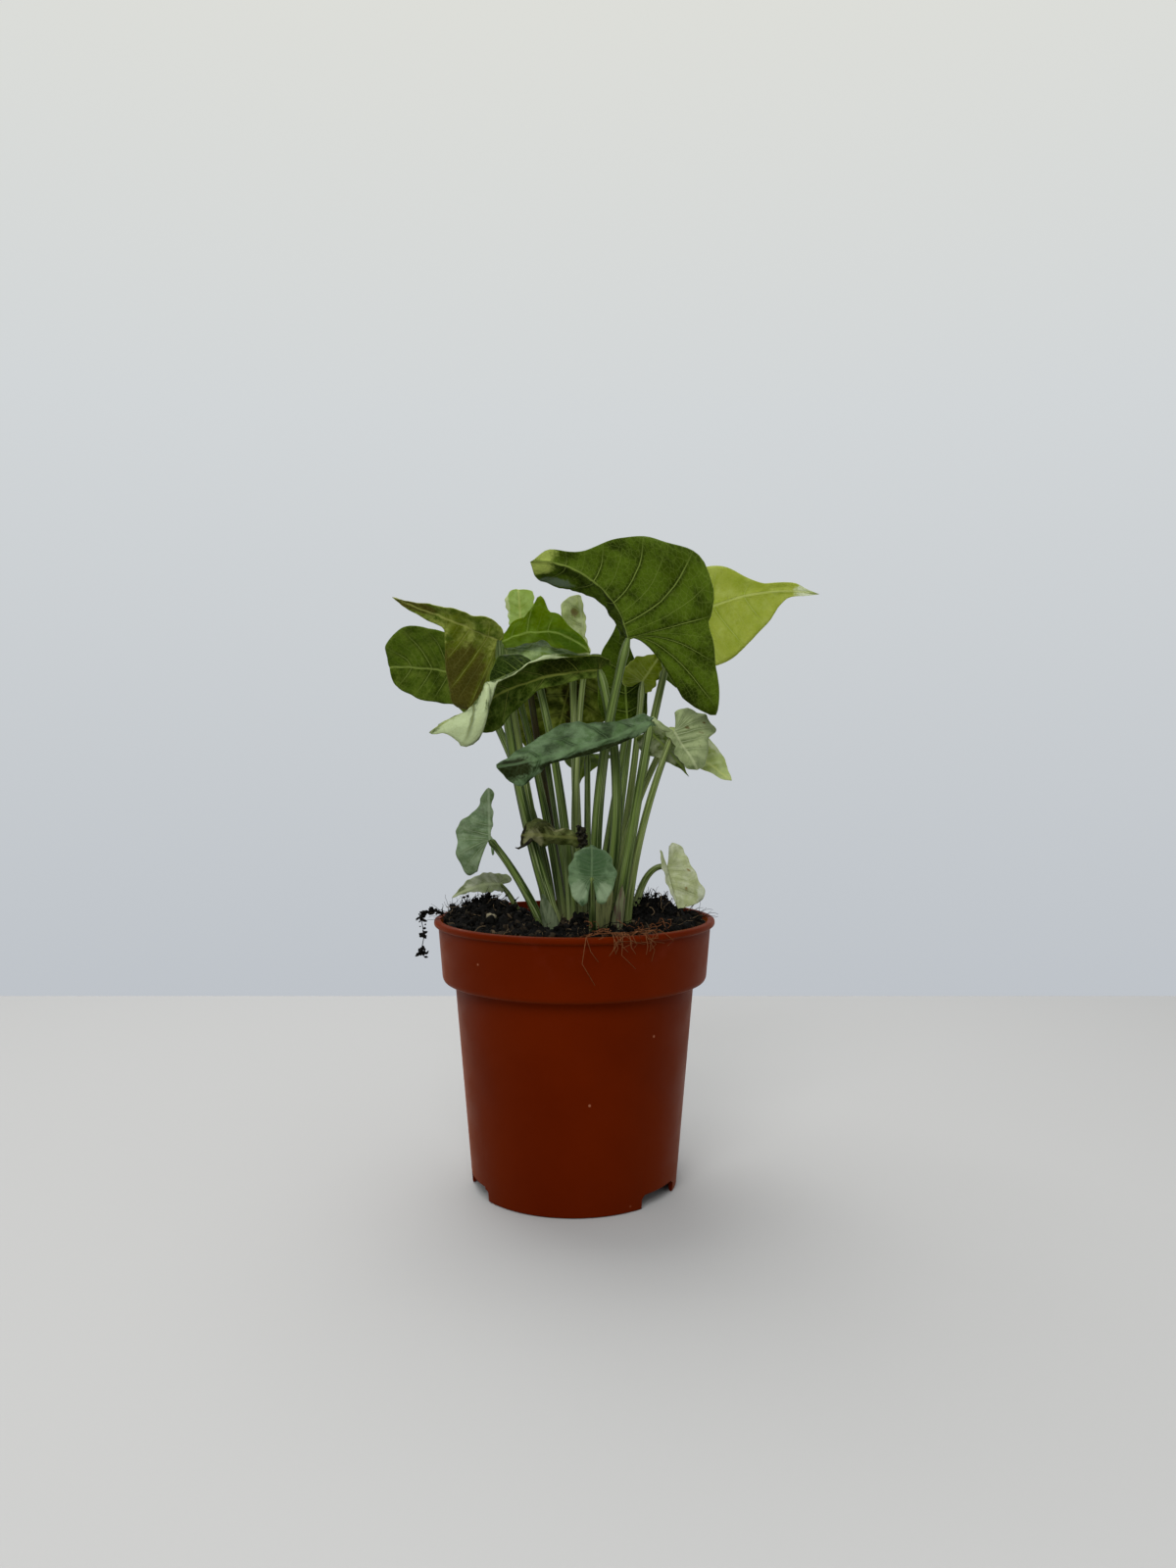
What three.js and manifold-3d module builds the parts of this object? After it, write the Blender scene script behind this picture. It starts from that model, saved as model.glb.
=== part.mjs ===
// An arrowhead plant (Syngonium podophyllum) in a four-inch round grower's pot.
// Millimetres, +Z up. The origin is the centre of the pot's foot; the plant's open side faces -Y.
import * as THREE from 'three';
import { mergeVertices } from 'three/addons/utils/BufferGeometryUtils.js';
import Module from 'manifold-3d';

const wasm = await Module();
wasm.setup();

// ---------------------------------------------------------------- driving dimensions
const GAP = 0.3;                 // between pieces that touch

const POT_HEIGHT = 102;
const WALL = 1.2;
const FOOT_RADIUS = 39.4;        // outside of the wall on the ground
const WAIST_RADIUS = 46;         // outside of the wall just under the collar
const WAIST_HEIGHT = 78;
const COLLAR_FOOT_RADIUS = 50.8; // the collar steps out for stacking
const COLLAR_TOP_RADIUS = 52.6;
const LIP_RADIUS = 54;
const LIP_HEIGHT = 2.6;
const PAD_RADIUS = 30;           // flat middle of the floor that stands on the ground
const CHANNEL_HEIGHT = 3;        // the floor is raised between the pad and the wall
const FLOOR = 1.6;
const NOTCH_ANGLES = [-36, 84, 202]; // drain notches, degrees from +X
const NOTCH_WIDTH = 21;
const NOTCH_HEIGHT = 5;
const POT_SIDES = 40;

const SOIL_LEVEL = 99;           // of the soil between its heaps
const SOIL_RINGS = 8;
const SOIL_SIDES = 32;

const BLADE = 0.7;               // thickness of a leaf blade
const BLADE_TIP_RIBS = 7;        // ribs from the tip to the joint, each side
const BLADE_LOBE_RIBS = 5;       // ribs that fan from the joint into a basal lobe
const BLADE_ROWS = 3;            // strips from the midrib to the margin
const STALK_SIDES = 6;
const STALK_STEPS = 6;
const STALK_FOOT = 93;           // height of a stalk's lower end, in the soil

const degrees = THREE.MathUtils.degToRad;
const smoothstep = THREE.MathUtils.smoothstep;
const vector = (xyz) => new THREE.Vector3(...xyz);

// ---------------------------------------------------------------- solids
function geometryFrom(positions, triangles) {
  const geometry = new THREE.BufferGeometry();
  geometry.setAttribute('position', new THREE.Float32BufferAttribute(positions, 3));
  geometry.setIndex(triangles);
  return geometry;
}

function solidFrom(geometry) {
  const bare = geometry.clone();
  bare.deleteAttribute('normal');
  bare.deleteAttribute('uv');
  const merged = mergeVertices(bare, 1e-4);
  return new wasm.Manifold(new wasm.Mesh({
    numProp: 3,
    vertProperties: new Float32Array(merged.attributes.position.array),
    triVerts: new Uint32Array(merged.index.array),
  }));
}

function geometryOf(solid) {
  const mesh = solid.getMesh();
  return geometryFrom(Array.from(mesh.vertProperties), Array.from(mesh.triVerts));
}

// ---------------------------------------------------------------- pot
const wallRadius = (z) => THREE.MathUtils.mapLinear(z, 0, WAIST_HEIGHT, FOOT_RADIUS, WAIST_RADIUS);
const collarRadius = (z) => THREE.MathUtils.mapLinear(
  z, WAIST_HEIGHT + 2, POT_HEIGHT, COLLAR_FOOT_RADIUS, COLLAR_TOP_RADIUS);

function potShell() {
  const lipFoot = POT_HEIGHT - LIP_HEIGHT;
  const outside = [
    [0, 0], [PAD_RADIUS, 0],
    [PAD_RADIUS + 1.5, CHANNEL_HEIGHT], [FOOT_RADIUS - WALL - 0.6, CHANNEL_HEIGHT],
    [FOOT_RADIUS - WALL, 0], [FOOT_RADIUS, 0],
    [WAIST_RADIUS, WAIST_HEIGHT],
    [COLLAR_FOOT_RADIUS - 1, WAIST_HEIGHT + 0.7], [COLLAR_FOOT_RADIUS, WAIST_HEIGHT + 2],
    [collarRadius(lipFoot), lipFoot],
    [LIP_RADIUS, lipFoot + 0.5], [LIP_RADIUS, POT_HEIGHT - 0.7], [LIP_RADIUS - 0.7, POT_HEIGHT],
  ];
  const inside = [
    [collarRadius(POT_HEIGHT) - WALL, POT_HEIGHT],
    [COLLAR_FOOT_RADIUS - WALL, WAIST_HEIGHT + 2 + WALL / 2],
    [WAIST_RADIUS - WALL, WAIST_HEIGHT + WALL / 2],
    [wallRadius(CHANNEL_HEIGHT + FLOOR) - WALL, CHANNEL_HEIGHT + FLOOR],
    [PAD_RADIUS + 1, CHANNEL_HEIGHT + FLOOR],
    [PAD_RADIUS - 0.5, FLOOR], [0, FLOOR],
  ];
  const profile = [...outside, ...inside].map(([radius, z]) => new THREE.Vector2(radius, z));
  const geometry = new THREE.LatheGeometry(profile, POT_SIDES);
  geometry.rotateX(Math.PI / 2);
  return solidFrom(geometry);
}

function drainNotch(angle) {
  const half = NOTCH_WIDTH / 2;
  const arch = new THREE.Shape();
  arch.moveTo(-half, -1);
  arch.lineTo(half, -1);
  arch.lineTo(half, NOTCH_HEIGHT - 1.5);
  arch.lineTo(half - 1.5, NOTCH_HEIGHT);
  arch.lineTo(-half + 1.5, NOTCH_HEIGHT);
  arch.lineTo(-half, NOTCH_HEIGHT - 1.5);
  arch.closePath();
  const geometry = new THREE.ExtrudeGeometry(arch, { depth: 9, bevelEnabled: false });
  geometry.rotateX(Math.PI / 2);
  geometry.rotateZ(Math.PI / 2);
  geometry.translate(PAD_RADIUS + 4, 0, 0);
  geometry.rotateZ(degrees(angle));
  return solidFrom(geometry);
}

function potGeometry() {
  return geometryOf(NOTCH_ANGLES.reduce((pot, angle) => pot.subtract(drainNotch(angle)), potShell()));
}

// ---------------------------------------------------------------- soil
// Height of the soil: two heaps by the rim, a dip at the back and small clods.
const HEAPS = [
  { at: [-35, 4], height: 8, spread: 15 },
  { at: [30, 6], height: 8, spread: 13 },
  { at: [4, -2], height: 2.5, spread: 18 },
  { at: [-16, 44], height: -4, spread: 14 },
];

function soilHeight(x, y) {
  const heaps = HEAPS.map((heap) => {
    const away = Math.hypot(x - heap.at[0], y - heap.at[1]) / heap.spread;
    return heap.height * Math.exp(-away * away);
  });
  const clods = 1.1 * Math.sin(0.45 * x + 1.3) * Math.sin(0.52 * y + 0.4) + 0.7 * Math.sin(0.9 * x - 0.7 * y);
  return SOIL_LEVEL + clods + heaps.reduce((sum, height) => sum + height, 0);
}

function soilGeometry() {
  const inner = (radius) => radius - WALL - GAP;
  const rim = inner(collarRadius(SOIL_LEVEL - 5));
  const wall = [
    [inner(COLLAR_FOOT_RADIUS), WAIST_HEIGHT + 2 + WALL],
    [inner(WAIST_RADIUS), WAIST_HEIGHT + WALL],
    [inner(wallRadius(CHANNEL_HEIGHT + FLOOR + GAP)), CHANNEL_HEIGHT + FLOOR + GAP],
  ];
  const positions = [0, 0, soilHeight(0, 0)];
  const addRing = (radiusAt, heightAt) => {
    for (let side = 0; side < SOIL_SIDES; side += 1) {
      const angle = (2 * Math.PI * side) / SOIL_SIDES;
      const radius = radiusAt(angle);
      const x = radius * Math.cos(angle);
      const y = radius * Math.sin(angle);
      positions.push(x, y, heightAt(x, y));
    }
  };
  for (let ring = 1; ring <= SOIL_RINGS; ring += 1) {
    addRing(() => (rim * ring) / SOIL_RINGS, soilHeight);
  }
  wall.forEach(([radius, z]) => addRing(() => radius, () => z));
  const ringCount = SOIL_RINGS + wall.length;
  const bottom = positions.length / 3;
  positions.push(0, 0, CHANNEL_HEIGHT + FLOOR + GAP);
  const triangles = [];
  for (let side = 0; side < SOIL_SIDES; side += 1) {
    const next = (side + 1) % SOIL_SIDES;
    triangles.push(0, 1 + side, 1 + next);
    for (let ring = 1; ring < ringCount; ring += 1) {
      const above = 1 + (ring - 1) * SOIL_SIDES;
      const below = above + SOIL_SIDES;
      triangles.push(above + side, below + side, below + next, above + side, below + next, above + next);
    }
    const last = 1 + (ringCount - 1) * SOIL_SIDES;
    triangles.push(last + side, bottom, last + next);
  }
  const heap = solidFrom(geometryFrom(positions, triangles));
  return geometryOf(LEAVES.filter((leaf) => leaf.foot).reduce(
    (soil, leaf) => soil.subtract(stalkSolid(leaf, GAP)), heap));
}

// ---------------------------------------------------------------- leaf shape
// A leaf is drawn flat in fractions of its length: x runs from the joint (0) to the tip (1), the two basal
// lobes reach back to negative x, and each half's outline goes from the tip round to the joint.
// heart() is the plain outline; a leaf with a margin of its own lists its points.
const heart = (width, lobe, spread = 0.6) => [
  [0.86, 0.12 * width], [0.68, 0.42 * width], [0.45, 0.78 * width], [0.2, 0.98 * width], [0, 0.98 * width],
  [-0.55 * lobe, 0.92 * width], [-0.9 * lobe, (spread + 0.12) * width], [-lobe, (spread - 0.05) * width],
  [-0.75 * lobe, 0.25 * width],
];

const USUAL = {
  arch: 0, hook: 0, sway: 0, twist: 0,
  fold: [5, 5], curl: [-12, -12], rim: [0, 0], droop: [15, 15], wave: [0.01, 2.5, 0],
  sweep: 1.25,
};

// joint and tip place the leaf and face is where its upper surface looks. Angles are in degrees: the midrib
// arches down, hooks at the tip, sways to the left and twists near the tip; each half (left, right) folds up
// from the midrib, curls on its way out, rolls at the rim and droops along its lobe. wave is the margin's
// height as a fraction of the length, its count and its phase, and sweep is how far the side veins bend on
// their way out (1 is straight). A stalk stands at foot and bows by lean.
const LEAVES = [
  {
    name: 'top', joint: [20, -19, 207.5], tip: [-16.5, -11, 237], face: [0.3, 0.94, 0.3],
    foot: [9, -11.5], lean: [-5, -3, 0], girth: 1.6,
    tint: 'deep', arch: 15, sway: -80, sweep: 2, fold: [0, 55], curl: [0, -20], droop: [0, 10],
    wave: [0, 0, 0],
    left: [
      [0.87, 0.09], [0.67, 0.12], [0.56, 0.26], [0.45, 0.44], [0.3, 0.62], [0.2, 0.73], [0.09, 0.72],
      [0, 0.66], [-0.05, 0.63], [-0.22, 0.62], [-0.4, 0.6], [-0.6, 0.57], [-0.67, 0.52], [-0.6, 0.42],
      [-0.5, 0.31],
    ],
    right: [
      [1, 0.12], [0.95, 0.22], [0.77, 0.26], [0.62, 0.25], [0.45, 0.21], [0.2, 0.15], [0, 0.17],
      [-0.07, 0.2], [-0.12, 0.18], [-0.1, 0.1],
    ],
  },
  {
    name: 'right', joint: [40, 12, 215.5], tip: [99.5, 24, 230], face: [0, 0.95, 0.31],
    foot: [17, 5], lean: [-2.5, -4, 0], girth: 1.4,
    tint: 'lit', arch: 10, sway: 42, fold: [4, 4], curl: [-10, -10], droop: [0, 0], wave: [0.005, 2, 0],
    left: [
      [0.9, 0.02], [0.8, 0.04], [0.74, 0.09], [0.66, 0.18], [0.55, 0.26], [0.45, 0.31], [0.3, 0.36],
      [0.15, 0.36], [0, 0.3], [-0.15, 0.2], [-0.2, 0.1],
    ],
    right: [
      [0.9, 0.02], [0.82, 0.05], [0.72, 0.06], [0.62, 0.06], [0.52, 0.12], [0.38, 0.22], [0.25, 0.26],
      [0.1, 0.27], [-0.1, 0.24], [-0.3, 0.2], [-0.3, 0.1],
    ],
  },
  {
    name: 'left', joint: [-28.5, -7, 208], tip: [-67.5, -16, 223], face: [0.14, 0.87, 0.46],
    foot: [-4, -13.5], lean: [-4, -1, 0], girth: 1.6,
    tint: 'deep', arch: 8, fold: [-10, 0], curl: [-10, 0], wave: [0, 0, 0],
    left: [
      [0.85, 0.03], [0.66, 0.07], [0.5, 0.13], [0.34, 0.16], [0.15, 0.17], [0.03, 0.12], [-0.02, 0.07],
      [-0.03, 0.03],
    ],
    right: [
      [0.85, 0.05], [0.7, 0.07], [0.58, 0.08], [0.49, 0.09], [0.44, 0.22], [0.36, 0.42], [0.25, 0.62],
      [0.14, 0.76], [0, 0.78], [-0.06, 0.6], [-0.08, 0.4], [-0.06, 0.2],
    ],
  },
  {
    name: 'far_left', joint: [-41.5, 18, 195.5], tip: [-76, 26, 200.5], face: [0.25, 0.9, 0.35],
    foot: [-8, 1.5], lean: [7, -2, 0], girth: 1.4,
    tint: 'deep', arch: 10, sway: -20, fold: [0, 0], curl: [-10, -10], droop: [0, 0], wave: [0, 0, 0],
    left: [
      [1.03, 0.1], [1, 0.24], [0.9, 0.38], [0.75, 0.46], [0.6, 0.49], [0.4, 0.47], [0.2, 0.42], [0, 0.38],
      [-0.15, 0.3], [-0.12, 0.1],
    ],
    right: [
      [1, 0.08], [0.96, 0.2], [0.82, 0.3], [0.65, 0.36], [0.45, 0.38], [0.2, 0.38], [0, 0.42],
      [-0.15, 0.45], [-0.25, 0.35], [-0.15, 0.15],
    ],
  },
  {
    name: 'middle', joint: [-28, 3, 208], tip: [6, -2, 204], face: [0, -0.8, 0.6],
    foot: [-7.2, -4.5], lean: [-1, 0, 0], girth: 1.6,
    tint: 'lit', arch: 20, sway: -80, fold: [10, -8], curl: [0, 0], wave: [0, 0, 0],
    left: [
      [0.86, 0.07], [0.71, 0.11], [0.61, 0.18], [0.52, 0.25], [0.46, 0.28], [0.4, 0.44], [0.37, 0.46],
      [0.34, 0.34], [0.28, 0.24], [0.2, 0.22], [0.1, 0.14], [0, 0.08], [-0.03, 0.04],
    ],
    right: [
      [0.91, 0.09], [0.74, 0.15], [0.6, 0.14], [0.48, 0.1], [0.3, 0.1], [0.1, 0.11], [0, 0.09],
      [-0.03, 0.05],
    ],
  },
  {
    name: 'tucked', joint: [-27, 8, 206.5], tip: [3, 3, 202], face: [0, -0.85, 0.5],
    foot: [-3.2, 1.5], lean: [2, 1, 0], girth: 1.2,
    tint: 'bluish', arch: 14, fold: [0, 0], curl: [-10, -10], droop: [0, 0],
    left: [
      [0.9, 0.07], [0.78, 0.15], [0.62, 0.21], [0.45, 0.25], [0.3, 0.25], [0.15, 0.2], [0, 0.14],
      [-0.05, 0.1], [-0.06, 0.05],
    ],
    right: [
      [0.88, 0.04], [0.7, 0.1], [0.45, 0.18], [0.25, 0.17], [0.12, 0.14], [0, 0.11], [-0.04, 0.08],
      [-0.05, 0.04],
    ],
  },
  {
    name: 'small_upright', joint: [-22.5, 27, 217], tip: [-23, 24, 232], face: [0.2, 0.95, -0.2],
    foot: [-3, 6.8], lean: [0, 1, 0], girth: 1.2,
    tint: 'lit', arch: 10,
    left: [
      [1, 0.15], [0.97, 0.3], [0.88, 0.42], [0.6, 0.4], [0.3, 0.32], [0, 0.28], [-0.2, 0.2], [-0.15, 0.08],
    ],
    right: [
      [1.02, 0.14], [0.93, 0.28], [0.75, 0.36], [0.5, 0.36], [0.25, 0.3], [0, 0.28], [-0.2, 0.2],
      [-0.15, 0.08],
    ],
  },
  {
    name: 'pale_upright', joint: [4.5, 12, 204.5], tip: [1.5, 8, 227.5], face: [0.1, 0.9, -0.2],
    foot: [2, 2], lean: [-3, 3, 0], girth: 1.2,
    tint: 'pale', arch: 10,
    left: [
      [0.95, 0.05], [0.8, 0.04], [0.6, 0.06], [0.4, 0.05], [0.2, 0.05], [0, 0.06], [-0.1, 0.04],
    ],
    right: [
      [1, 0.08], [0.97, 0.2], [0.84, 0.31], [0.6, 0.32], [0.4, 0.28], [0.2, 0.22], [0, 0.16], [-0.08, 0.1],
      [-0.07, 0.04],
    ],
  },
  {
    name: 'arching', joint: [9.5, -12, 196.5], tip: [-50, -45, 172.5], face: [-0.1, 0.93, 0.35],
    foot: [8.5, -4.5], lean: [7, -7, 0], girth: 1.6,
    tint: 'deep', arch: 90, hook: -55, sway: -15, twist: -90, fold: [-6, -6], curl: [-10, -8],
    rim: [-100, 0], droop: [0, 0],
    left: [
      [1, 0.04], [0.95, 0.07], [0.93, 0.18], [0.93, 0.23], [0.88, 0.25], [0.82, 0.2], [0.78, 0.15],
      [0.7, 0.12], [0.5, 0.11], [0.35, 0.13], [0.2, 0.14], [0, 0.12], [-0.05, 0.09], [-0.06, 0.04],
    ],
    right: [
      [0.95, 0.03], [0.85, 0.07], [0.76, 0.12], [0.7, 0.15], [0.63, 0.16], [0.55, 0.14], [0.46, 0.11],
      [0.38, 0.08], [0.28, 0.06], [0.18, 0.05], [0.08, 0.035], [0, 0.03], [-0.02, 0.025], [-0.03, 0.015],
    ],
  },
  {
    name: 'front', joint: [27.5, -30, 176], tip: [-26.5, -46, 160], face: [0, -0.75, 0.66],
    foot: [15, -11.5], lean: [0, 1.5, 0], girth: 1.5,
    tint: 'bluish', arch: -22, fold: [-28, 0], curl: [-15, -15], wave: [0.012, 2.5, 0.2],
    left: [
      [0.98, 0.03], [0.94, 0.09], [0.88, 0.14], [0.82, 0.12], [0.74, 0.06], [0.65, 0.04], [0.5, 0.05],
      [0.3, 0.05], [0.1, 0.04], [0, 0.03], [-0.03, 0.02],
    ],
    right: [
      [0.97, 0.05], [0.83, 0.12], [0.75, 0.15], [0.61, 0.22], [0.5, 0.25], [0.38, 0.23], [0.27, 0.16],
      [0.15, 0.12], [0, 0.09], [-0.03, 0.06], [-0.04, 0.03],
    ],
  },
  {
    name: 'mottled', joint: [36.5, -25, 173], tip: [44.5, -30, 159], face: [0.1, -1, 0.3],
    foot: [19.5, -6], lean: [-3.5, -1, 0], girth: 1.2,
    tint: 'pale', arch: 20, fold: [0, 0], curl: [-10, -10], wave: [0.03, 3.5, 0],
    left: [
      [0.98, 0.2], [0.8, 0.38], [0.64, 0.47], [0.5, 0.58], [0.36, 0.82], [0.15, 0.88], [0, 0.85],
      [-0.24, 0.75], [-0.4, 0.62], [-0.4, 0.27],
    ],
    right: [
      [0.95, 0.1], [0.84, 0.15], [0.56, 0.25], [0.35, 0.2], [0.16, 0.16], [0, 0.15], [-0.15, 0.19],
      [-0.34, 0.25], [-0.49, 0.28], [-0.64, 0.23], [-0.62, 0.15],
    ],
  },
  {
    name: 'right_low', joint: [35, -6, 170], tip: [59, -14, 155], face: [0.2, -0.8, 0.5],
    foot: [15, 0.5], lean: [-5, 4, 0], girth: 1.2,
    tint: 'lit', arch: 20, fold: [0, -5], curl: [-10, -10],
    left: [
      [0.9, 0.1], [0.79, 0.2], [0.63, 0.3], [0.48, 0.35], [0.3, 0.36], [0.1, 0.33], [-0.1, 0.25],
      [-0.12, 0.1],
    ],
    right: [
      [0.85, 0.06], [0.6, 0.1], [0.3, 0.12], [0, 0.12], [-0.1, 0.06],
    ],
  },
  {
    name: 'right_narrow', joint: [28.5, -16, 172.5], tip: [42.5, -19, 156.5], face: [0.2, -0.8, 0.5],
    foot: [14, -5.2], lean: [0, 0, 0], girth: 1.1,
    tint: 'deep', arch: 20, sweep: 1, fold: [0, 0], curl: [-10, -10],
    left: heart(0.24, 0.15),
    right: [
      [0.85, 0.03], [0.65, 0.1], [0.45, 0.24], [0.25, 0.34], [0.05, 0.34], [-0.1, 0.25], [-0.1, 0.1],
    ],
  },
  {
    name: 'low_left', joint: [-31.5, -16, 133], tip: [-31.5, -20, 152.5], face: [0, -1, 0.1],
    foot: [-8.8, -10], lean: [0, 2, 3], girth: 1.3,
    tint: 'bluish', arch: 5, fold: [0, 0], curl: [-15, 0], droop: [0, 0], wave: [0.012, 3, 0],
    left: [
      [0.96, 0.06], [0.85, 0.12], [0.76, 0.17], [0.57, 0.23], [0.45, 0.38], [0.37, 0.51], [0.22, 0.61],
      [0, 0.67], [-0.37, 0.64], [-0.65, 0.51], [-0.75, 0.42], [-0.66, 0.26],
    ],
    right: [
      [0.97, 0.07], [0.9, 0.1], [0.8, 0.07], [0.57, 0.06], [0.3, 0.06], [0, 0.06], [-0.15, 0.07],
      [-0.3, 0.06], [-0.3, 0.04],
    ],
  },
  {
    name: 'creeping_left', joint: [-29.5, 4, 114], tip: [-47, -4, 109.5], face: [0, -0.8, 0.6],
    foot: [-19, 9], lean: [0, 2, 3], girth: 0.9,
    tint: 'pale', arch: 70, fold: [-20, 0], curl: [0, 0], droop: [0, 0], wave: [0, 0, 0],
    left: heart(0.15, 0.1),
    right: [
      [0.9, 0.05], [0.78, 0.11], [0.58, 0.19], [0.3, 0.25], [0, 0.28], [-0.2, 0.29], [-0.42, 0.26],
      [-0.42, 0.15], [-0.25, 0.06],
    ],
  },
  {
    name: 'low_front', joint: [6.5, -40, 121.5], tip: [6.5, -26, 132], face: [0, -0.9, 0.45],
    foot: [7, -20], lean: [0, -5, 2], girth: 1,
    tint: 'bluish', arch: 60, fold: [10, 10], wave: [0.015, 3, 0],
    left: [
      [0.86, 0.06], [0.68, 0.19], [0.45, 0.35], [0.2, 0.44], [0, 0.44], [-0.25, 0.41], [-0.45, 0.32],
      [-0.57, 0.2], [-0.5, 0.08],
    ],
    right: [
      [0.86, 0.06], [0.68, 0.19], [0.45, 0.36], [0.2, 0.45], [0, 0.45], [-0.2, 0.42], [-0.38, 0.35],
      [-0.52, 0.23], [-0.5, 0.1],
    ],
  },
  {
    name: 'low_right', joint: [36, 4, 121], tip: [40, 0, 105], face: [0, -1, 0.1],
    foot: [22, 2.5], lean: [-2, 0, 8], girth: 1.1,
    tint: 'pale', arch: 5, fold: [0, 65], curl: [0, 0], wave: [0.015, 3.5, 0],
    left: [
      [1.02, 0.12], [1, 0.35], [0.97, 0.5], [0.9, 0.62], [0.7, 0.68], [0.5, 0.67], [0.3, 0.6], [0, 0.52],
      [-0.2, 0.49], [-0.38, 0.45], [-0.52, 0.3], [-0.45, 0.18],
    ],
    right: [
      [0.86, 0.06], [0.65, 0.16], [0.4, 0.24], [0.15, 0.26], [0, 0.25], [-0.2, 0.22], [-0.36, 0.15],
      [-0.32, 0.08],
    ],
  },
  {
    name: 'inner', joint: [-1, 31, 199.5], tip: [-10, 28, 162.5], face: [0, -0.95, 0.2],
    foot: [3, 7.8], lean: [-0.5, -2.5, 0], girth: 1.4,
    tint: 'lit', arch: 8, wave: [0.03, 3.5, 0],
    left: heart(0.6, 0.15),
    right: [
      [1, 0.12], [0.94, 0.28], [0.85, 0.38], [0.7, 0.46], [0.5, 0.52], [0.3, 0.54], [0.12, 0.5],
      [-0.02, 0.38], [-0.1, 0.24], [-0.09, 0.1],
    ],
  },
  {
    name: 'inner_low', joint: [21, 17, 177.5], tip: [18.5, 18, 220], face: [0, -0.97, 0.1],
    foot: [6.8, 1], lean: [0, 0, 0], girth: 1.3,
    tint: 'deep', arch: 8, droop: [0, 0],
    left: [
      [0.97, 0.03], [0.88, 0.08], [0.78, 0.14], [0.68, 0.2], [0.5, 0.25], [0.3, 0.27], [0.12, 0.25],
      [0, 0.2], [-0.05, 0.14], [-0.07, 0.07],
    ],
    right: [
      [0.9, 0.03], [0.75, 0.06], [0.6, 0.1], [0.45, 0.17], [0.3, 0.21], [0.15, 0.2], [0, 0.16],
      [-0.05, 0.11], [-0.06, 0.05],
    ],
  },
  {
    name: 'inner_right', joint: [26.5, 8, 193.5], tip: [35, 6, 205.5], face: [0, 0.95, 0.3],
    foot: [11.5, 6], lean: [2, 1, 0], girth: 1.2,
    tint: 'lit', arch: 20,
    left: heart(0.35, 0.2),
    right: heart(0.6, 0.35),
  },
  {
    name: 'inner_left', joint: [-14.5, -8, 196], tip: [-30, -18, 187], face: [-0.2, -1, 0.1],
    foot: [-0.8, -6.5], lean: [3, 1, 0], girth: 1.4,
    tint: 'deep', arch: 10,
    left: heart(0.1, 0.1),
    right: [
      [0.96, 0.14], [0.78, 0.4], [0.57, 0.53], [0.42, 0.58], [0.28, 0.56], [0.06, 0.46], [0, 0.4],
      [-0.06, 0.28], [-0.1, 0.16],
    ],
  },
  {
    name: 'back_left', joint: [-17, 53, 197], tip: [-46.5, 86, 194], face: [-0.2, 0.3, 0.9],
    foot: [-1, 12.5], lean: [-1, 2, 0], girth: 1.5,
    tint: 'deep', arch: 60,
    left: heart(0.48, 0.3),
    right: heart(0.48, 0.3),
  },
  {
    name: 'back_right', joint: [25.5, 46, 202], tip: [46, 86, 196], face: [0.1, 0.4, 0.9],
    foot: [10.5, 12], lean: [1, 2, 0], girth: 1.5,
    tint: 'deep', arch: 65,
    left: heart(0.48, 0.3),
    right: heart(0.48, 0.3),
  },
  {
    name: 'back_low', joint: [5, 43, 165], tip: [1.5, 72, 152], face: [0, 0.5, 0.85],
    foot: [5, 13.5], lean: [0, 2, 0], girth: 1.2,
    tint: 'deep', arch: 50,
    left: heart(0.34, 0.25),
    right: heart(0.34, 0.25),
  },
  {
    name: 'withered', joint: [4, -22, 133.5], tip: [-19.5, -20.5, 135], face: [0, -1, 0.3],
    tint: 'dry', arch: 30, sweep: 1, fold: [-10, -10], curl: [-30, -30], droop: [0, 0],
    wave: [0.02, 2.5, 0],
    left: [
      [1.02, 0.08], [1, 0.17], [0.92, 0.16], [0.84, 0.12], [0.72, 0.12], [0.6, 0.13], [0.4, 0.13],
      [0.2, 0.12], [0, 0.1], [-0.05, 0.08], [-0.05, 0.03],
    ],
    right: [
      [1, 0.1], [0.98, 0.2], [0.92, 0.24], [0.86, 0.27], [0.79, 0.33], [0.7, 0.33], [0.6, 0.24],
      [0.48, 0.15], [0.3, 0.13], [0.1, 0.15], [0, 0.14], [-0.05, 0.1], [-0.05, 0.04],
    ],
  },
].map((leaf) => ({ ...USUAL, ...leaf }));

const MIDRIB_STEPS = 60;
const RIB_STEPS = 24;

// The direction that is pitched down and turned to the left by these angles.
const forwardOf = (pitch, yaw) => new THREE.Vector3(
  Math.cos(pitch) * Math.cos(yaw), Math.cos(pitch) * Math.sin(yaw), -Math.sin(pitch));

// The midrib of a leaf one unit long: its centre and its two bending angles at even steps.
function midribOf({ arch, hook, sway }) {
  const stations = [];
  const centre = new THREE.Vector3();
  for (let step = 0; step <= MIDRIB_STEPS; step += 1) {
    const t = step / MIDRIB_STEPS;
    const pitch = degrees(arch * t + hook * smoothstep(t, 0.62, 1));
    const yaw = degrees(sway * t);
    stations.push({ centre: centre.clone(), pitch, yaw });
    centre.addScaledVector(forwardOf(pitch, yaw), 1 / MIDRIB_STEPS);
  }
  return stations;
}

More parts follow.
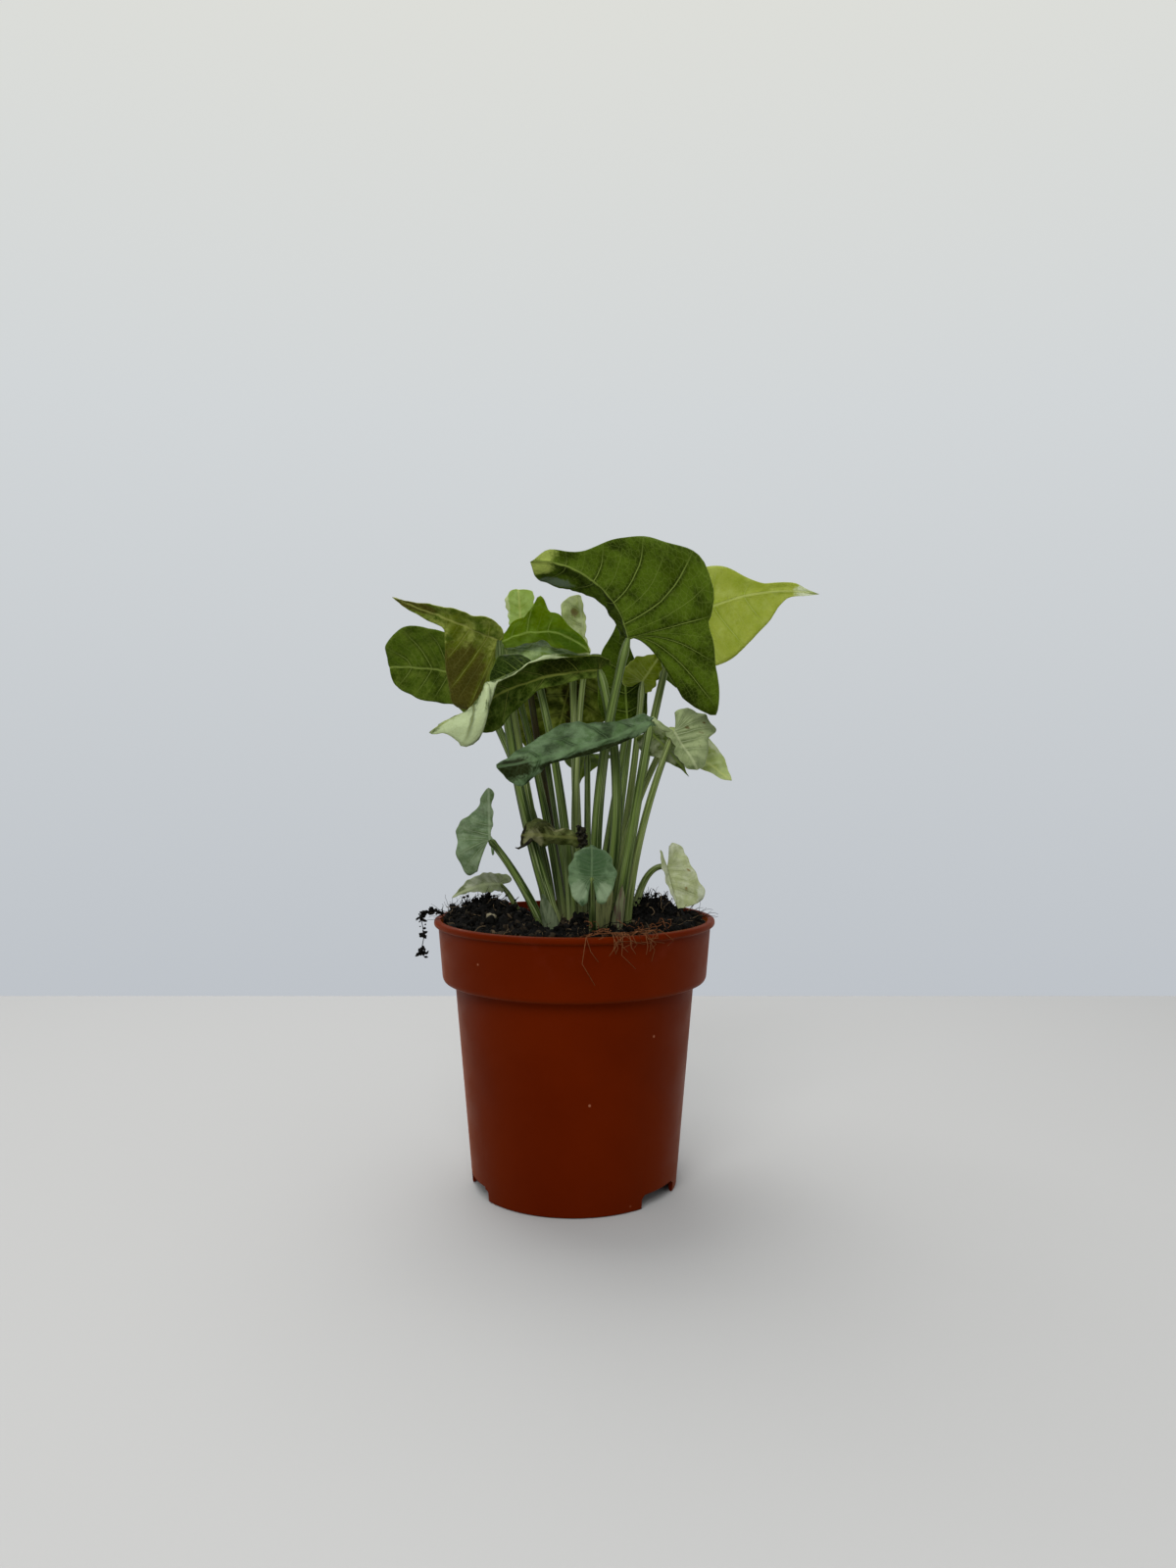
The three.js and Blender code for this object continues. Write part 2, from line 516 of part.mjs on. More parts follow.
// Centre, upward normal and leftward direction of the blade's spine at flat x; behind the joint the spine
// bends down by the lobe's droop.
function spineAt(x, leaf, midrib, lobe, droop) {
  let centre;
  let pitch;
  let yaw = 0;
  if (x >= 0) {
    const place = Math.min(x, 1) * MIDRIB_STEPS;
    const before = Math.min(Math.floor(place), MIDRIB_STEPS - 1);
    const from = midrib[before];
    const to = midrib[before + 1];
    const share = place - before;
    centre = from.centre.clone().lerp(to.centre, share);
    pitch = THREE.MathUtils.lerp(from.pitch, to.pitch, share);
    yaw = THREE.MathUtils.lerp(from.yaw, to.yaw, share);
  } else {
    const bend = Math.max(degrees(droop), 1e-3);
    const along = -x / lobe;
    centre = new THREE.Vector3(
      (-lobe * Math.sin(bend * along)) / bend, 0, (-lobe * (1 - Math.cos(bend * along))) / bend);
    pitch = -bend * along;
  }
  const normal = forwardOf(pitch - Math.PI / 2, yaw);
  const leftward = normal.clone().cross(forwardOf(pitch, yaw));
  const turn = degrees(leaf.twist) * smoothstep(x, 0.55, 0.9);
  return {
    centre,
    normal: normal.clone().multiplyScalar(Math.cos(turn)).addScaledVector(leftward, -Math.sin(turn)),
    leftward: leftward.clone().multiplyScalar(Math.cos(turn)).addScaledVector(normal, Math.sin(turn)),
  };
}

// Even points along the smooth line through the given ones.
function evenPoints(points, count) {
  const curve = new THREE.SplineCurve(points.map(([x, y]) => new THREE.Vector2(x, y)));
  return curve.getSpacedPoints(count);
}

// One half's ribs: where each leaves the midrib and where it meets the margin.
function ribsOf(outline) {
  const points = [[1, 0], ...outline];
  const turn = points.findIndex(([x]) => x <= 0);
  const front = evenPoints(points.slice(0, turn + 1), BLADE_TIP_RIBS);
  const back = evenPoints(points.slice(turn), BLADE_LOBE_RIBS).slice(1);
  return [...front, ...back].map((margin, rib) => ({
    from: rib < BLADE_TIP_RIBS ? (1 - rib / BLADE_TIP_RIBS) ** 1.4 : 0,
    margin,
  }));
}

// The points of one rib of a leaf one unit long, from the midrib to the margin. share is the rib's place
// along the margin, from the tip (0) to the joint (1).
function ribPoints(rib, share, leaf, side, midrib, lobe) {
  const hand = side === 0 ? 1 : -1;
  const reach = rib.margin.y;
  const [height, count, phase] = leaf.wave;
  const turns = count * share + phase + 0.35 * side;
  const swell = height * Math.min(1, reach / 0.12) * Math.sin(2 * Math.PI * turns);
  const points = [];
  let out = 0;
  let rise = 0;
  for (let step = 0; step <= RIB_STEPS; step += 1) {
    const gone = step / RIB_STEPS;
    if (step > 0) {
      const middle = gone - 0.5 / RIB_STEPS;
      const roll = leaf.rim[side] * smoothstep(middle, 0.55, 1);
      const slope = degrees(leaf.fold[side] + leaf.curl[side] * middle + roll);
      out += (Math.cos(slope) * reach) / RIB_STEPS;
      rise += (Math.sin(slope) * reach) / RIB_STEPS;
    }
    if (step % (RIB_STEPS / BLADE_ROWS) === 0) {
      const x = rib.from + (rib.margin.x - rib.from) * gone ** leaf.sweep;
      const spine = spineAt(x, leaf, midrib, lobe, leaf.droop[side]);
      points.push(spine.centre
        .addScaledVector(spine.leftward, hand * out)
        .addScaledVector(spine.normal, rise + swell * gone * gone));
    }
  }
  return points;
}

// The blade as a sheet of triangles one unit long; both halves share the points of the midrib.
function bladeSheet(leaf, midrib) {
  const points = [];
  const triangles = [];
  const spine = [];
  [leaf.left, leaf.right].forEach((outline, side) => {
    const ribs = ribsOf(outline);
    const lobe = Math.max(0.05, ...ribs.map(({ margin }) => -margin.x));
    const rows = ribs.map((rib, number) => {
      const share = number / (ribs.length - 1);
      return ribPoints(rib, share, leaf, side, midrib, lobe).map((point, row) => {
        const station = Math.min(number, BLADE_TIP_RIBS);
        if (number === 0 && spine[0] !== undefined) return spine[0];
        if (row === 0 && spine[station] !== undefined) return spine[station];
        points.push(point);
        if (row === 0) spine[station] = points.length - 1;
        return points.length - 1;
      });
    });
    for (let number = 1; number < rows.length; number += 1) {
      for (let row = 0; row < BLADE_ROWS; row += 1) {
        const [a, d] = rows[number - 1].slice(row, row + 2);
        const [b, c] = rows[number].slice(row, row + 2);
        [[a, b, c], [a, c, d]].forEach((corners) => {
          if (new Set(corners).size < 3) return;
          triangles.push(side === 0 ? corners : [...corners].reverse());
        });
      }
    }
  });
  return { points, triangles };
}

// Size of a leaf, and the turn from the frame it is drawn in to the frame of the plant.
function placeOf(leaf, midrib) {
  const chord = midrib[MIDRIB_STEPS].centre;
  const span = vector(leaf.tip).sub(vector(leaf.joint));
  const ownForward = chord.clone().normalize();
  const ownLeft = new THREE.Vector3(0, 0, 1).cross(ownForward).normalize();
  const own = new THREE.Matrix4().makeBasis(ownForward, ownLeft, ownForward.clone().cross(ownLeft));
  const forward = span.clone().normalize();
  const face = vector(leaf.face).projectOnPlane(forward).normalize();
  const placed = new THREE.Matrix4().makeBasis(forward, face.clone().cross(forward), face);
  return { length: span.length() / chord.length(), turn: placed.multiply(own.transpose()) };
}

// Thickens a sheet to both sides and closes its rim.
function thicken({ points, triangles }, thickness) {
  const sheet = geometryFrom(points.flatMap((point) => point.toArray()), triangles.flat());
  sheet.computeVertexNormals();
  const { normal } = sheet.attributes;
  const normals = points.map((_, number) => new THREE.Vector3().fromBufferAttribute(normal, number));
  const edges = new Set(triangles.flatMap(([a, b, c]) => [`${a} ${b}`, `${b} ${c}`, `${c} ${a}`]));
  const rim = [...edges].map((edge) => edge.split(' ').map(Number))
    .filter(([a, b]) => !edges.has(`${b} ${a}`));
  const above = points.map((point, number) => point.clone().addScaledVector(normals[number], thickness / 2));
  const below = points.map((point, number) => point.clone().addScaledVector(normals[number], -thickness / 2));
  const count = points.length;
  const closed = [
    ...triangles,
    ...triangles.map(([a, b, c]) => [a + count, c + count, b + count]),
    ...rim.flatMap(([a, b]) => [[b, a, a + count], [b, a + count, b + count]]),
  ];
  return geometryFrom([...above, ...below].flatMap((point) => point.toArray()), closed.flat());
}

function bladeGeometry(leaf) {
  const midrib = midribOf(leaf);
  const sheet = bladeSheet(leaf, midrib);
  const { length, turn } = placeOf(leaf, midrib);
  const joint = vector(leaf.joint);
  sheet.points.forEach((point) => point.multiplyScalar(length).applyMatrix4(turn).add(joint));
  return thicken(sheet, BLADE);
}

// ---------------------------------------------------------------- stalks
// A tapering round stalk from its foot in the soil to the joint of its leaf.
function stalkSolid(leaf, extra) {
  const foot = new THREE.Vector3(...leaf.foot, STALK_FOOT);
  const joint = vector(leaf.joint);
  const bend = foot.clone().add(joint).multiplyScalar(0.5).addScaledVector(vector(leaf.lean), 2);
  const curve = new THREE.QuadraticBezierCurve3(foot, bend, joint);
  const { normals, binormals } = curve.computeFrenetFrames(STALK_STEPS);
  const positions = [];
  for (let step = 0; step <= STALK_STEPS; step += 1) {
    const t = step / STALK_STEPS;
    const centre = curve.getPointAt(t);
    const radius = leaf.girth * (1 + 0.6 * (1 - t) ** 1.5) + extra;
    for (let side = 0; side < STALK_SIDES; side += 1) {
      const angle = (2 * Math.PI * side) / STALK_SIDES;
      positions.push(...centre.clone()
        .addScaledVector(normals[step], radius * Math.cos(angle))
        .addScaledVector(binormals[step], radius * Math.sin(angle)).toArray());
    }
  }
  const foot0 = positions.length / 3;
  positions.push(...foot.toArray(), ...joint.toArray());
  const triangles = [];
  for (let side = 0; side < STALK_SIDES; side += 1) {
    const next = (side + 1) % STALK_SIDES;
    for (let step = 0; step < STALK_STEPS; step += 1) {
      const low = step * STALK_SIDES;
      const high = low + STALK_SIDES;
      triangles.push(low + side, low + next, high + next, low + side, high + next, high + side);
    }
    const top = STALK_STEPS * STALK_SIDES;
    triangles.push(foot0, next, side, foot0 + 1, top + side, top + next);
  }
  return solidFrom(geometryFrom(positions, triangles));
}

// The stalk is cut off a gap short of its blade, along the blade's underside.
function stalkGeometry(leaf) {
  const { turn } = placeOf(leaf, midribOf(leaf));
  const under = new THREE.Vector3(0, 0, -1).applyMatrix4(turn);
  const slopes = leaf.fold.map((angle, side) => angle + leaf.curl[side] / 2);
  const sag = leaf.girth * Math.max(0, ...slopes.map((slope) => -Math.sin(degrees(slope))));
  const offset = under.dot(vector(leaf.joint)) + BLADE / 2 + GAP + sag;
  return geometryOf(stalkSolid(leaf, 0).trimByPlane(under.toArray(), offset));
}

// ---------------------------------------------------------------- the plant in its pot
const material = (color, roughness) => new THREE.MeshStandardMaterial({ color, roughness, metalness: 0 });
const POT_MATERIAL = material(0x6b2413, 0.45);
const SOIL_MATERIAL = material(0x1b1613, 0.95);
const STALK_MATERIAL = material(0x6f8a45, 0.5);
const BLADE_MATERIALS = {
  deep: material(0x3c5a1c, 0.45),
  lit: material(0x93a13e, 0.5),
  bluish: material(0x4f7358, 0.5),
  pale: material(0xa9b487, 0.55),
  dry: material(0x6a5523, 0.8),
};

const plant = new THREE.Group();

function addPiece(name, geometry, finish) {
  const flat = geometry.index ? geometry.toNonIndexed() : geometry;
  flat.computeVertexNormals();
  const mesh = new THREE.Mesh(flat, finish);
  mesh.name = name;
  plant.add(mesh);
}

addPiece('pot', potGeometry(), POT_MATERIAL);
addPiece('soil', soilGeometry(), SOIL_MATERIAL);
LEAVES.forEach((leaf) => {
  addPiece(`blade_${leaf.name}`, bladeGeometry(leaf), BLADE_MATERIALS[leaf.tint]);
  if (leaf.foot) addPiece(`stalk_${leaf.name}`, stalkGeometry(leaf), STALK_MATERIAL);
});

export default plant;
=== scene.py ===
"""An arrowhead plant (Syngonium podophyllum) in a round four-inch grower's pot, dressed around its
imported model. Scene units are metres, +Z up, and the plant's open side faces -Y. Shapes are drawn in
millimetres and scaled by MM as they become meshes."""
import math

import bpy
import numpy as np
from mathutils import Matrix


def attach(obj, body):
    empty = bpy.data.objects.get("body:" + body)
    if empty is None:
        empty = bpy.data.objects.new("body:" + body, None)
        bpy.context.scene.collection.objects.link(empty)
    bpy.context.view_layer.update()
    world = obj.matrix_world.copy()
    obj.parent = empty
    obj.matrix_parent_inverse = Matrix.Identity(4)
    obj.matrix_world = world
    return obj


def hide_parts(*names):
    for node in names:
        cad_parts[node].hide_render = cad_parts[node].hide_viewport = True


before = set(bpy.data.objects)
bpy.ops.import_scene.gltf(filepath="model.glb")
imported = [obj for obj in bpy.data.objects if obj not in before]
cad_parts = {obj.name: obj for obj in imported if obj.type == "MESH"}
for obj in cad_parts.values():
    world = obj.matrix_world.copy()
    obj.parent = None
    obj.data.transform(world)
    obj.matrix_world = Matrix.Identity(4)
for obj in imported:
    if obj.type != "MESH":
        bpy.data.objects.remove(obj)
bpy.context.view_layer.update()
MM = 0.001

# ---------------------------------------------------------------- camera
# A wide lens close to the plant, level with the middle of its leaves and tipped down a very little.
CAMERA_PLACE = (0.0052, -0.4358, 0.1625)
CAMERA_DIP = 1.2                 # degrees
FOCAL_LENGTH = 25.875            # in millimetres, as is the long side of the film
FILM_SIDE = 36.0

camera_lens = bpy.data.cameras.new("camera")
camera_lens.lens = FOCAL_LENGTH
camera_lens.sensor_width = FILM_SIDE
camera = bpy.data.objects.new("camera", camera_lens)
camera.location = CAMERA_PLACE
camera.rotation_euler = (math.radians(90 - CAMERA_DIP), 0, 0)
bpy.context.scene.collection.objects.link(camera)
bpy.context.scene.camera = camera
bpy.context.scene.view_settings.view_transform = "Standard"


# ---------------------------------------------------------------- floor and light
# A plain pale tabletop that ends some 30 cm behind the pot, before a pale wall that is a little darker
# lower down. Soft daylight: a broad light overhead and a little behind the plant, which shines
# through the thin leaves, a second one from the front, and an even light from all round.
TABLE_HALF_WIDTH = 2500
TABLE_FRONT = -2000
TABLE_BACK = 340
TABLE_LEVEL = -0.3               # just below the foot of the pot
PLANT_MIDDLE = np.array((0, 0, 0.15))


def mesh_object(name, points, faces, smooth=True):
    """An object from points in millimetres."""
    mesh = bpy.data.meshes.new(name)
    mesh.from_pydata((np.asarray(points, float) * MM).tolist(), [], [tuple(map(int, face)) for face in faces])
    mesh.validate()
    mesh.polygons.foreach_set("use_smooth", [smooth] * len(mesh.polygons))
    made = bpy.data.objects.new(name, mesh)
    bpy.context.scene.collection.objects.link(made)
    return made


def colour(red, green, blue):
    """Linear RGBA from the 0-255 numbers of a paint chart."""
    def linear(level):
        share = level / 255
        return share / 12.92 if share <= 0.04045 else ((share + 0.055) / 1.055) ** 2.4
    return (linear(red), linear(green), linear(blue), 1.0)


def new_material(name):
    material = bpy.data.materials.new(name)
    material.use_nodes = True
    material.node_tree.nodes.clear()
    return material, material.node_tree


def node(tree, kind, **settings):
    made = tree.nodes.new(kind)
    for key, value in settings.items():
        setattr(made, key, value)
    return made


def feed(tree, given, socket):
    """Gives a socket its value: another socket to read, or a plain number or colour."""
    if isinstance(given, bpy.types.NodeSocket):
        tree.links.new(given, socket)
    else:
        socket.default_value = given


def link_all(tree, *pairs):
    for source, target in pairs:
        tree.links.new(source, target)


def principled(tree, base, **settings):
    """A surface of that base colour; a setting has its socket's name, with _ for a space."""
    shader = node(tree, "ShaderNodeBsdfPrincipled")
    feed(tree, base, shader.inputs["Base Color"])
    for label, given in settings.items():
        feed(tree, given, shader.inputs[label.replace("_", " ")])
    return shader


def finished(tree, shader):
    tree.links.new(shader, node(tree, "ShaderNodeOutputMaterial").inputs["Surface"])


table_corners = [(-TABLE_HALF_WIDTH, TABLE_FRONT), (TABLE_HALF_WIDTH, TABLE_FRONT),
                 (TABLE_HALF_WIDTH, TABLE_BACK), (-TABLE_HALF_WIDTH, TABLE_BACK)]
floor = mesh_object("floor", [(x, y, TABLE_LEVEL) for x, y in table_corners], [(0, 1, 2, 3)], smooth=False)
floor_paint, tree = new_material("pale_floor")
floor_shader = principled(tree, colour(176, 175, 173), Roughness=0.85, Specular_IOR_Level=0.1)
finished(tree, floor_shader.outputs["BSDF"])
floor.data.materials.append(floor_paint)

room = bpy.data.worlds.new("room")
room.use_nodes = True
tree = room.node_tree
tree.nodes.clear()
upward = node(tree, "ShaderNodeSeparateXYZ")
height = node(tree, "ShaderNodeMapRange")
height.inputs["From Min"].default_value = -0.2
height.inputs["From Max"].default_value = 0.55
wall = node(tree, "ShaderNodeValToRGB")
wall.color_ramp.elements.new(0.65)
for element, tint in zip(wall.color_ramp.elements, ((190, 195, 201), (210, 214, 216), (221, 222, 217))):
    element.color = colour(*tint)
seen = node(tree, "ShaderNodeBackground")
light = node(tree, "ShaderNodeBackground")
light.inputs["Color"].default_value = colour(214, 218, 221)
light.inputs["Strength"].default_value = 0.8
either = node(tree, "ShaderNodeMixShader")
link_all(tree,
         (node(tree, "ShaderNodeTexCoord").outputs["Generated"], upward.inputs["Vector"]),
         (upward.outputs["Z"], height.inputs["Value"]),
         (height.outputs["Result"], wall.inputs["Fac"]),
         (wall.outputs["Color"], seen.inputs["Color"]),
         (node(tree, "ShaderNodeLightPath").outputs["Is Camera Ray"], either.inputs["Fac"]),
         (light.outputs["Background"], either.inputs[1]),
         (seen.outputs["Background"], either.inputs[2]),
         (either.outputs["Shader"], node(tree, "ShaderNodeOutputWorld").inputs["Surface"]))
bpy.context.scene.world = room


def soft_light(name, power, size, place):
    """A round lamp that looks at the middle of the plant."""
    lamp = bpy.data.lights.new(name, "AREA")
    lamp.energy = power
    lamp.shape = "DISK"
    lamp.size = size
    made = bpy.data.objects.new(name, lamp)
    made.location = place
    toward = PLANT_MIDDLE - np.array(place)
    made.rotation_euler = (math.acos(-toward[2] / np.linalg.norm(toward)), 0,
                           math.atan2(toward[1], toward[0]) - math.pi / 2)
    bpy.context.scene.collection.objects.link(made)


soft_light("daylight_above", power=12.0, size=1.0, place=(-0.2, 0.45, 1.25))
soft_light("fill_front", power=12.0, size=0.8, place=(-0.2, -1.1, 1.0))


# ---------------------------------------------------------------- pot
# A thin injection-moulded polypropylene pot, terracotta brown: a straight tapering wall, a deep collar that
# steps out for stacking, a thin rolled lip, and drain notches cut through the foot. One piece, unpainted.
POT_HEIGHT = 102.0
WALL = 1.2
FOOT_RADIUS = 39.4
WAIST_RADIUS = 46.0
WAIST_HEIGHT = 78.0
COLLAR_FOOT = 80.0               # the collar starts above a short slope from the waist
COLLAR_FOOT_RADIUS = 50.8
COLLAR_TOP_RADIUS = 52.6
LIP_RADIUS = 54.0
LIP_FOOT = 99.4
PAD_RADIUS = 30.0                # the middle of the floor stands on the table
CHANNEL_HEIGHT = 3.0             # and the ring round it is raised
FLOOR = 1.6
NOTCH_ANGLES = (-36, 84, 202)
NOTCH_WIDTH = 21.0
NOTCH_HEIGHT = 5.0
NOTCH_SPAN = (34, 43)            # from inside the wall to outside it
POT_SIDES = 144
CORNER_STEPS = 4
SHARP_ANGLE = 32


def wall_radius(z):
    return FOOT_RADIUS + (WAIST_RADIUS - FOOT_RADIUS) * z / WAIST_HEIGHT


def collar_radius(z):
    rise = (z - COLLAR_FOOT) / (POT_HEIGHT - COLLAR_FOOT)
    return COLLAR_FOOT_RADIUS + (COLLAR_TOP_RADIUS - COLLAR_FOOT_RADIUS) * rise


# Radius, height and how far the corner is rounded.
POT_PROFILE = [
    (0, 0, 0), (PAD_RADIUS, 0, 0.5), (PAD_RADIUS + 1.5, CHANNEL_HEIGHT, 0.5),
    (FOOT_RADIUS - WALL - 0.6, CHANNEL_HEIGHT, 0.5), (FOOT_RADIUS - WALL, 0, 0.3), (FOOT_RADIUS, 0, 0.4),
    (WAIST_RADIUS, WAIST_HEIGHT, 0.8), (COLLAR_FOOT_RADIUS - 0.6, WAIST_HEIGHT + 0.7, 0.7),
    (COLLAR_FOOT_RADIUS, COLLAR_FOOT, 0.8), (collar_radius(LIP_FOOT), LIP_FOOT, 0.6),
    (LIP_RADIUS, LIP_FOOT + 0.4, 0.7), (LIP_RADIUS, POT_HEIGHT - 0.2, 0.9),
    (collar_radius(POT_HEIGHT) - WALL, POT_HEIGHT, 0.5),
    (COLLAR_FOOT_RADIUS - WALL, COLLAR_FOOT + WALL / 2, 0.7),
    (WAIST_RADIUS - WALL, WAIST_HEIGHT + WALL / 2, 0.8),
    (wall_radius(CHANNEL_HEIGHT + FLOOR) - WALL, CHANNEL_HEIGHT + FLOOR, 0.6),
    (PAD_RADIUS + 1, CHANNEL_HEIGHT + FLOOR, 0.5), (PAD_RADIUS - 0.5, FLOOR, 0.5), (0, FLOOR, 0),
]


def rounded(profile):
    """The profile with each corner replaced by a short curve."""
    points = []
    corners = [np.array(corner[:2], float) for corner in profile]
    for number, (here, (_, _, radius)) in enumerate(zip(corners, profile)):
        if radius == 0:
            points.append(here)
            continue
        ahead = corners[number + 1] - here
        behind = corners[number - 1] - here
        reach = min(radius, 0.45 * np.linalg.norm(ahead), 0.45 * np.linalg.norm(behind))
        start = here + behind / np.linalg.norm(behind) * reach
        end = here + ahead / np.linalg.norm(ahead) * reach
        for t in np.linspace(0, 1, CORNER_STEPS + 1):
            points.append((1 - t) ** 2 * start + 2 * t * (1 - t) * here + t ** 2 * end)
    return np.array(points)


def ringed_faces(rings, sides):
    """Faces of a closed body whose points are one end, then its rings in order, then the other end."""
    last = 1 + rings * sides
    faces = []
    for side in range(sides):
        after = (side + 1) % sides
        faces.append((0, 1 + after, 1 + side))
        for low in range(1, last - sides, sides):
            faces.append((low + side, low + after, low + sides + after, low + sides + side))
        faces.append((last, last - sides + side, last - sides + after))
    return faces


def lathe(profile, sides):
    """A closed body turned round the Z axis; the profile's first and last points are on the axis."""
    turn = np.linspace(0, 2 * math.pi, sides, endpoint=False)
    rings = [np.stack([r * np.cos(turn), r * np.sin(turn), np.full(sides, z)], -1) for r, z in profile[1:-1]]
    points = np.vstack([[0, 0, profile[0][1]], *rings, [0, 0, profile[-1][1]]])
    return points, ringed_faces(len(rings), sides)


def notch_block(angle):
    """The block that cuts one drain notch, with small steps in its corners where the mould was worn."""
    half = NOTCH_WIDTH / 2
    top = NOTCH_HEIGHT
    arch = [(-half, -2), (half, -2), (half, top - 1.6), (half - 0.5, top - 1.1), (half - 1.7, top - 0.9),
            (half - 2.1, top), (-half + 1.5, top), (-half + 0.7, top - 0.4), (-half, top - 1.5)]
    turn = math.radians(angle)
    out = np.array([math.cos(turn), math.sin(turn), 0])
    across = np.array([-math.sin(turn), math.cos(turn), 0])
    points = [out * depth + across * x + np.array([0, 0, z]) for depth in NOTCH_SPAN for x, z in arch]
    count = len(arch)
    faces = [tuple(reversed(range(count))), tuple(range(count, 2 * count))]
    for corner in range(count):
        after = (corner + 1) % count
        faces.append((corner, after, count + after, count + corner))
    return mesh_object("notch", points, faces, smooth=False)


def applied(made):
    """Bakes an object's modifiers into its mesh."""
    graph = bpy.context.evaluated_depsgraph_get()
    mesh = bpy.data.meshes.new_from_object(made.evaluated_get(graph))
    made.modifiers.clear()
    made.data = mesh


pot = mesh_object("pot_shell", *lathe(rounded(POT_PROFILE), POT_SIDES))
for angle in NOTCH_ANGLES:
    block = notch_block(angle)
    cut = pot.modifiers.new("notch", "BOOLEAN")
    cut.object = block
    cut.operation = "DIFFERENCE"
    cut.solver = "EXACT"
    applied(pot)
    bpy.data.objects.remove(block)
pot.data.polygons.foreach_set("use_smooth", [True] * len(pot.data.polygons))
pot.data.set_sharp_from_angle(angle=math.radians(SHARP_ANGLE))


def noise(tree, vector, scale, detail=4.0, roughness=0.55):
    made = node(tree, "ShaderNodeTexNoise")
    for socket, given in zip(("Vector", "Scale", "Detail", "Roughness"), (vector, scale, detail, roughness)):
        feed(tree, given, made.inputs[socket])
    return made.outputs["Fac"]


def ranged(tree, value, low, high, to_low=0.0, to_high=1.0):
    """A soft step: to_low where the value is low, to_high where it is high."""
    made = node(tree, "ShaderNodeMapRange", interpolation_type="SMOOTHSTEP")
    for socket, given in zip(("Value", "From Min", "From Max", "To Min", "To Max"),
                             (value, low, high, to_low, to_high)):
        feed(tree, given, made.inputs[socket])
    return made.outputs["Result"]


def mixed(tree, factor, first, second):
    """A colour mix; each argument is a socket or a plain value."""
    made = node(tree, "ShaderNodeMix", data_type="RGBA")
    for socket, given in zip((made.inputs["Factor"], made.inputs[6], made.inputs[7]),
                             (factor, first, second)):
        feed(tree, given, socket)
    return made.outputs[2]


def calculated(tree, operation, *values):
    made = node(tree, "ShaderNodeMath", operation=operation)
    for socket, given in zip(made.inputs, values):
        feed(tree, given, socket)
    return made.outputs["Value"]


def times(tree, first, second):
    return calculated(tree, "MULTIPLY", first, second)


def bumped(tree, height, strength, distance, onto):
    made = node(tree, "ShaderNodeBump")
    made.inputs["Strength"].default_value = strength
    made.inputs["Distance"].default_value = distance
    link_all(tree, (height, made.inputs["Height"]), (made.outputs["Normal"], onto))


# Nearly even brown plastic, with dust toward the lip and a few pale specks.
pot_plastic, tree = new_material("terracotta_plastic")
place = node(tree, "ShaderNodeTexCoord").outputs["Object"]
spot = node(tree, "ShaderNodeSeparateXYZ")
speck_cells = node(tree, "ShaderNodeTexVoronoi")
speck_cells.inputs["Scale"].default_value = 260.0
link_all(tree, (place, spot.inputs["Vector"]), (place, speck_cells.inputs["Vector"]))
cloudy = ranged(tree, noise(tree, place, 28.0, 3.0), 0.3, 0.7)
plain = mixed(tree, cloudy, colour(80, 19, 1), colour(86, 22, 1))
dusty = times(tree, ranged(tree, noise(tree, place, 90.0, 6.0, 0.7), 0.52, 0.78),
              ranged(tree, spot.outputs["Z"], 0.075, 0.102, 0.1, 0.6))
dusted = mixed(tree, dusty, plain, colour(92, 30, 18))
specks = times(tree, ranged(tree, speck_cells.outputs["Distance"], 0.1, 0.16, 1.0, 0.0),
               ranged(tree, noise(tree, place, 75.0, 1.0), 0.66, 0.7))
pot_shader = principled(tree, mixed(tree, specks, dusted, colour(136, 84, 62)),
                        Roughness=ranged(tree, noise(tree, place, 60.0), 0.3, 0.7, 0.36, 0.5),
                        Specular_IOR_Level=0.03, Specular_Tint=colour(255, 150, 60), Sheen_Weight=0.16,
                        Sheen_Roughness=0.45, Sheen_Tint=colour(230, 122, 42))
bumped(tree, noise(tree, place, 1400.0, 2.0), 0.06, 0.0002, pot_shader.inputs["Normal"])
finished(tree, pot_shader.outputs["BSDF"])
pot.data.materials.append(pot_plastic)
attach(pot, "root")
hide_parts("pot")


# ---------------------------------------------------------------- soil
# Peat potting soil, nearly black and loose: two heaps against the rim, crumbs, fibres, bits of bark and
# a grain of perlite. It fills the pot nearly to its lip, and the stalks stand in it.
SOIL_LEVEL = 99.0
GAP = 0.3                        # between the filling and the pot
EDGE_DEPTH = 5                   # the surface is as wide as the collar is this far down
# Middle, height and spread of the two heaps, of a low swell round the stalks and of a hollow at the back.
HEAPS = [((-35, 4), 8, 15), ((30, 6), 8, 13), ((4, -2), 2.5, 18), ((-16, 44), -4, 14)]
SOIL_RINGS = 84
SOIL_SIDES = 210
CRUMBS = 1700
FIBRES = 420
BARK_BITS = 46
SMALL_CRUMB = 0.8                # smaller crumbs have fewer faces
PEAT_TONE = 0.2
CLEAR_OF_WALL = 1.5              # how far the crumbs keep from the pot's wall
draw = np.random.default_rng(41)


def soil_height(x, y):
    level = SOIL_LEVEL + 1.1 * np.sin(0.45 * x + 1.3) * np.sin(0.52 * y + 0.4)
    level = level + 0.7 * np.sin(0.9 * x - 0.7 * y)
    for (heap_x, heap_y), height, spread in HEAPS:
        level = level + height * np.exp(-((x - heap_x) ** 2 + (y - heap_y) ** 2) / spread ** 2)
    return level


def waves(x, y, count, shortest, longest, seed):
    """A rough field of sine waves, mostly between -1.5 and 1.5."""
    own = np.random.default_rng(seed)
    field = np.zeros_like(x)
    for _ in range(count):
        length = own.uniform(shortest, longest)
        angle = own.uniform(0, 2 * math.pi)
        phase = own.uniform(0, 2 * math.pi)
        field += np.sin(2 * math.pi * (x * math.cos(angle) + y * math.sin(angle)) / length + phase)
    return field / math.sqrt(count)


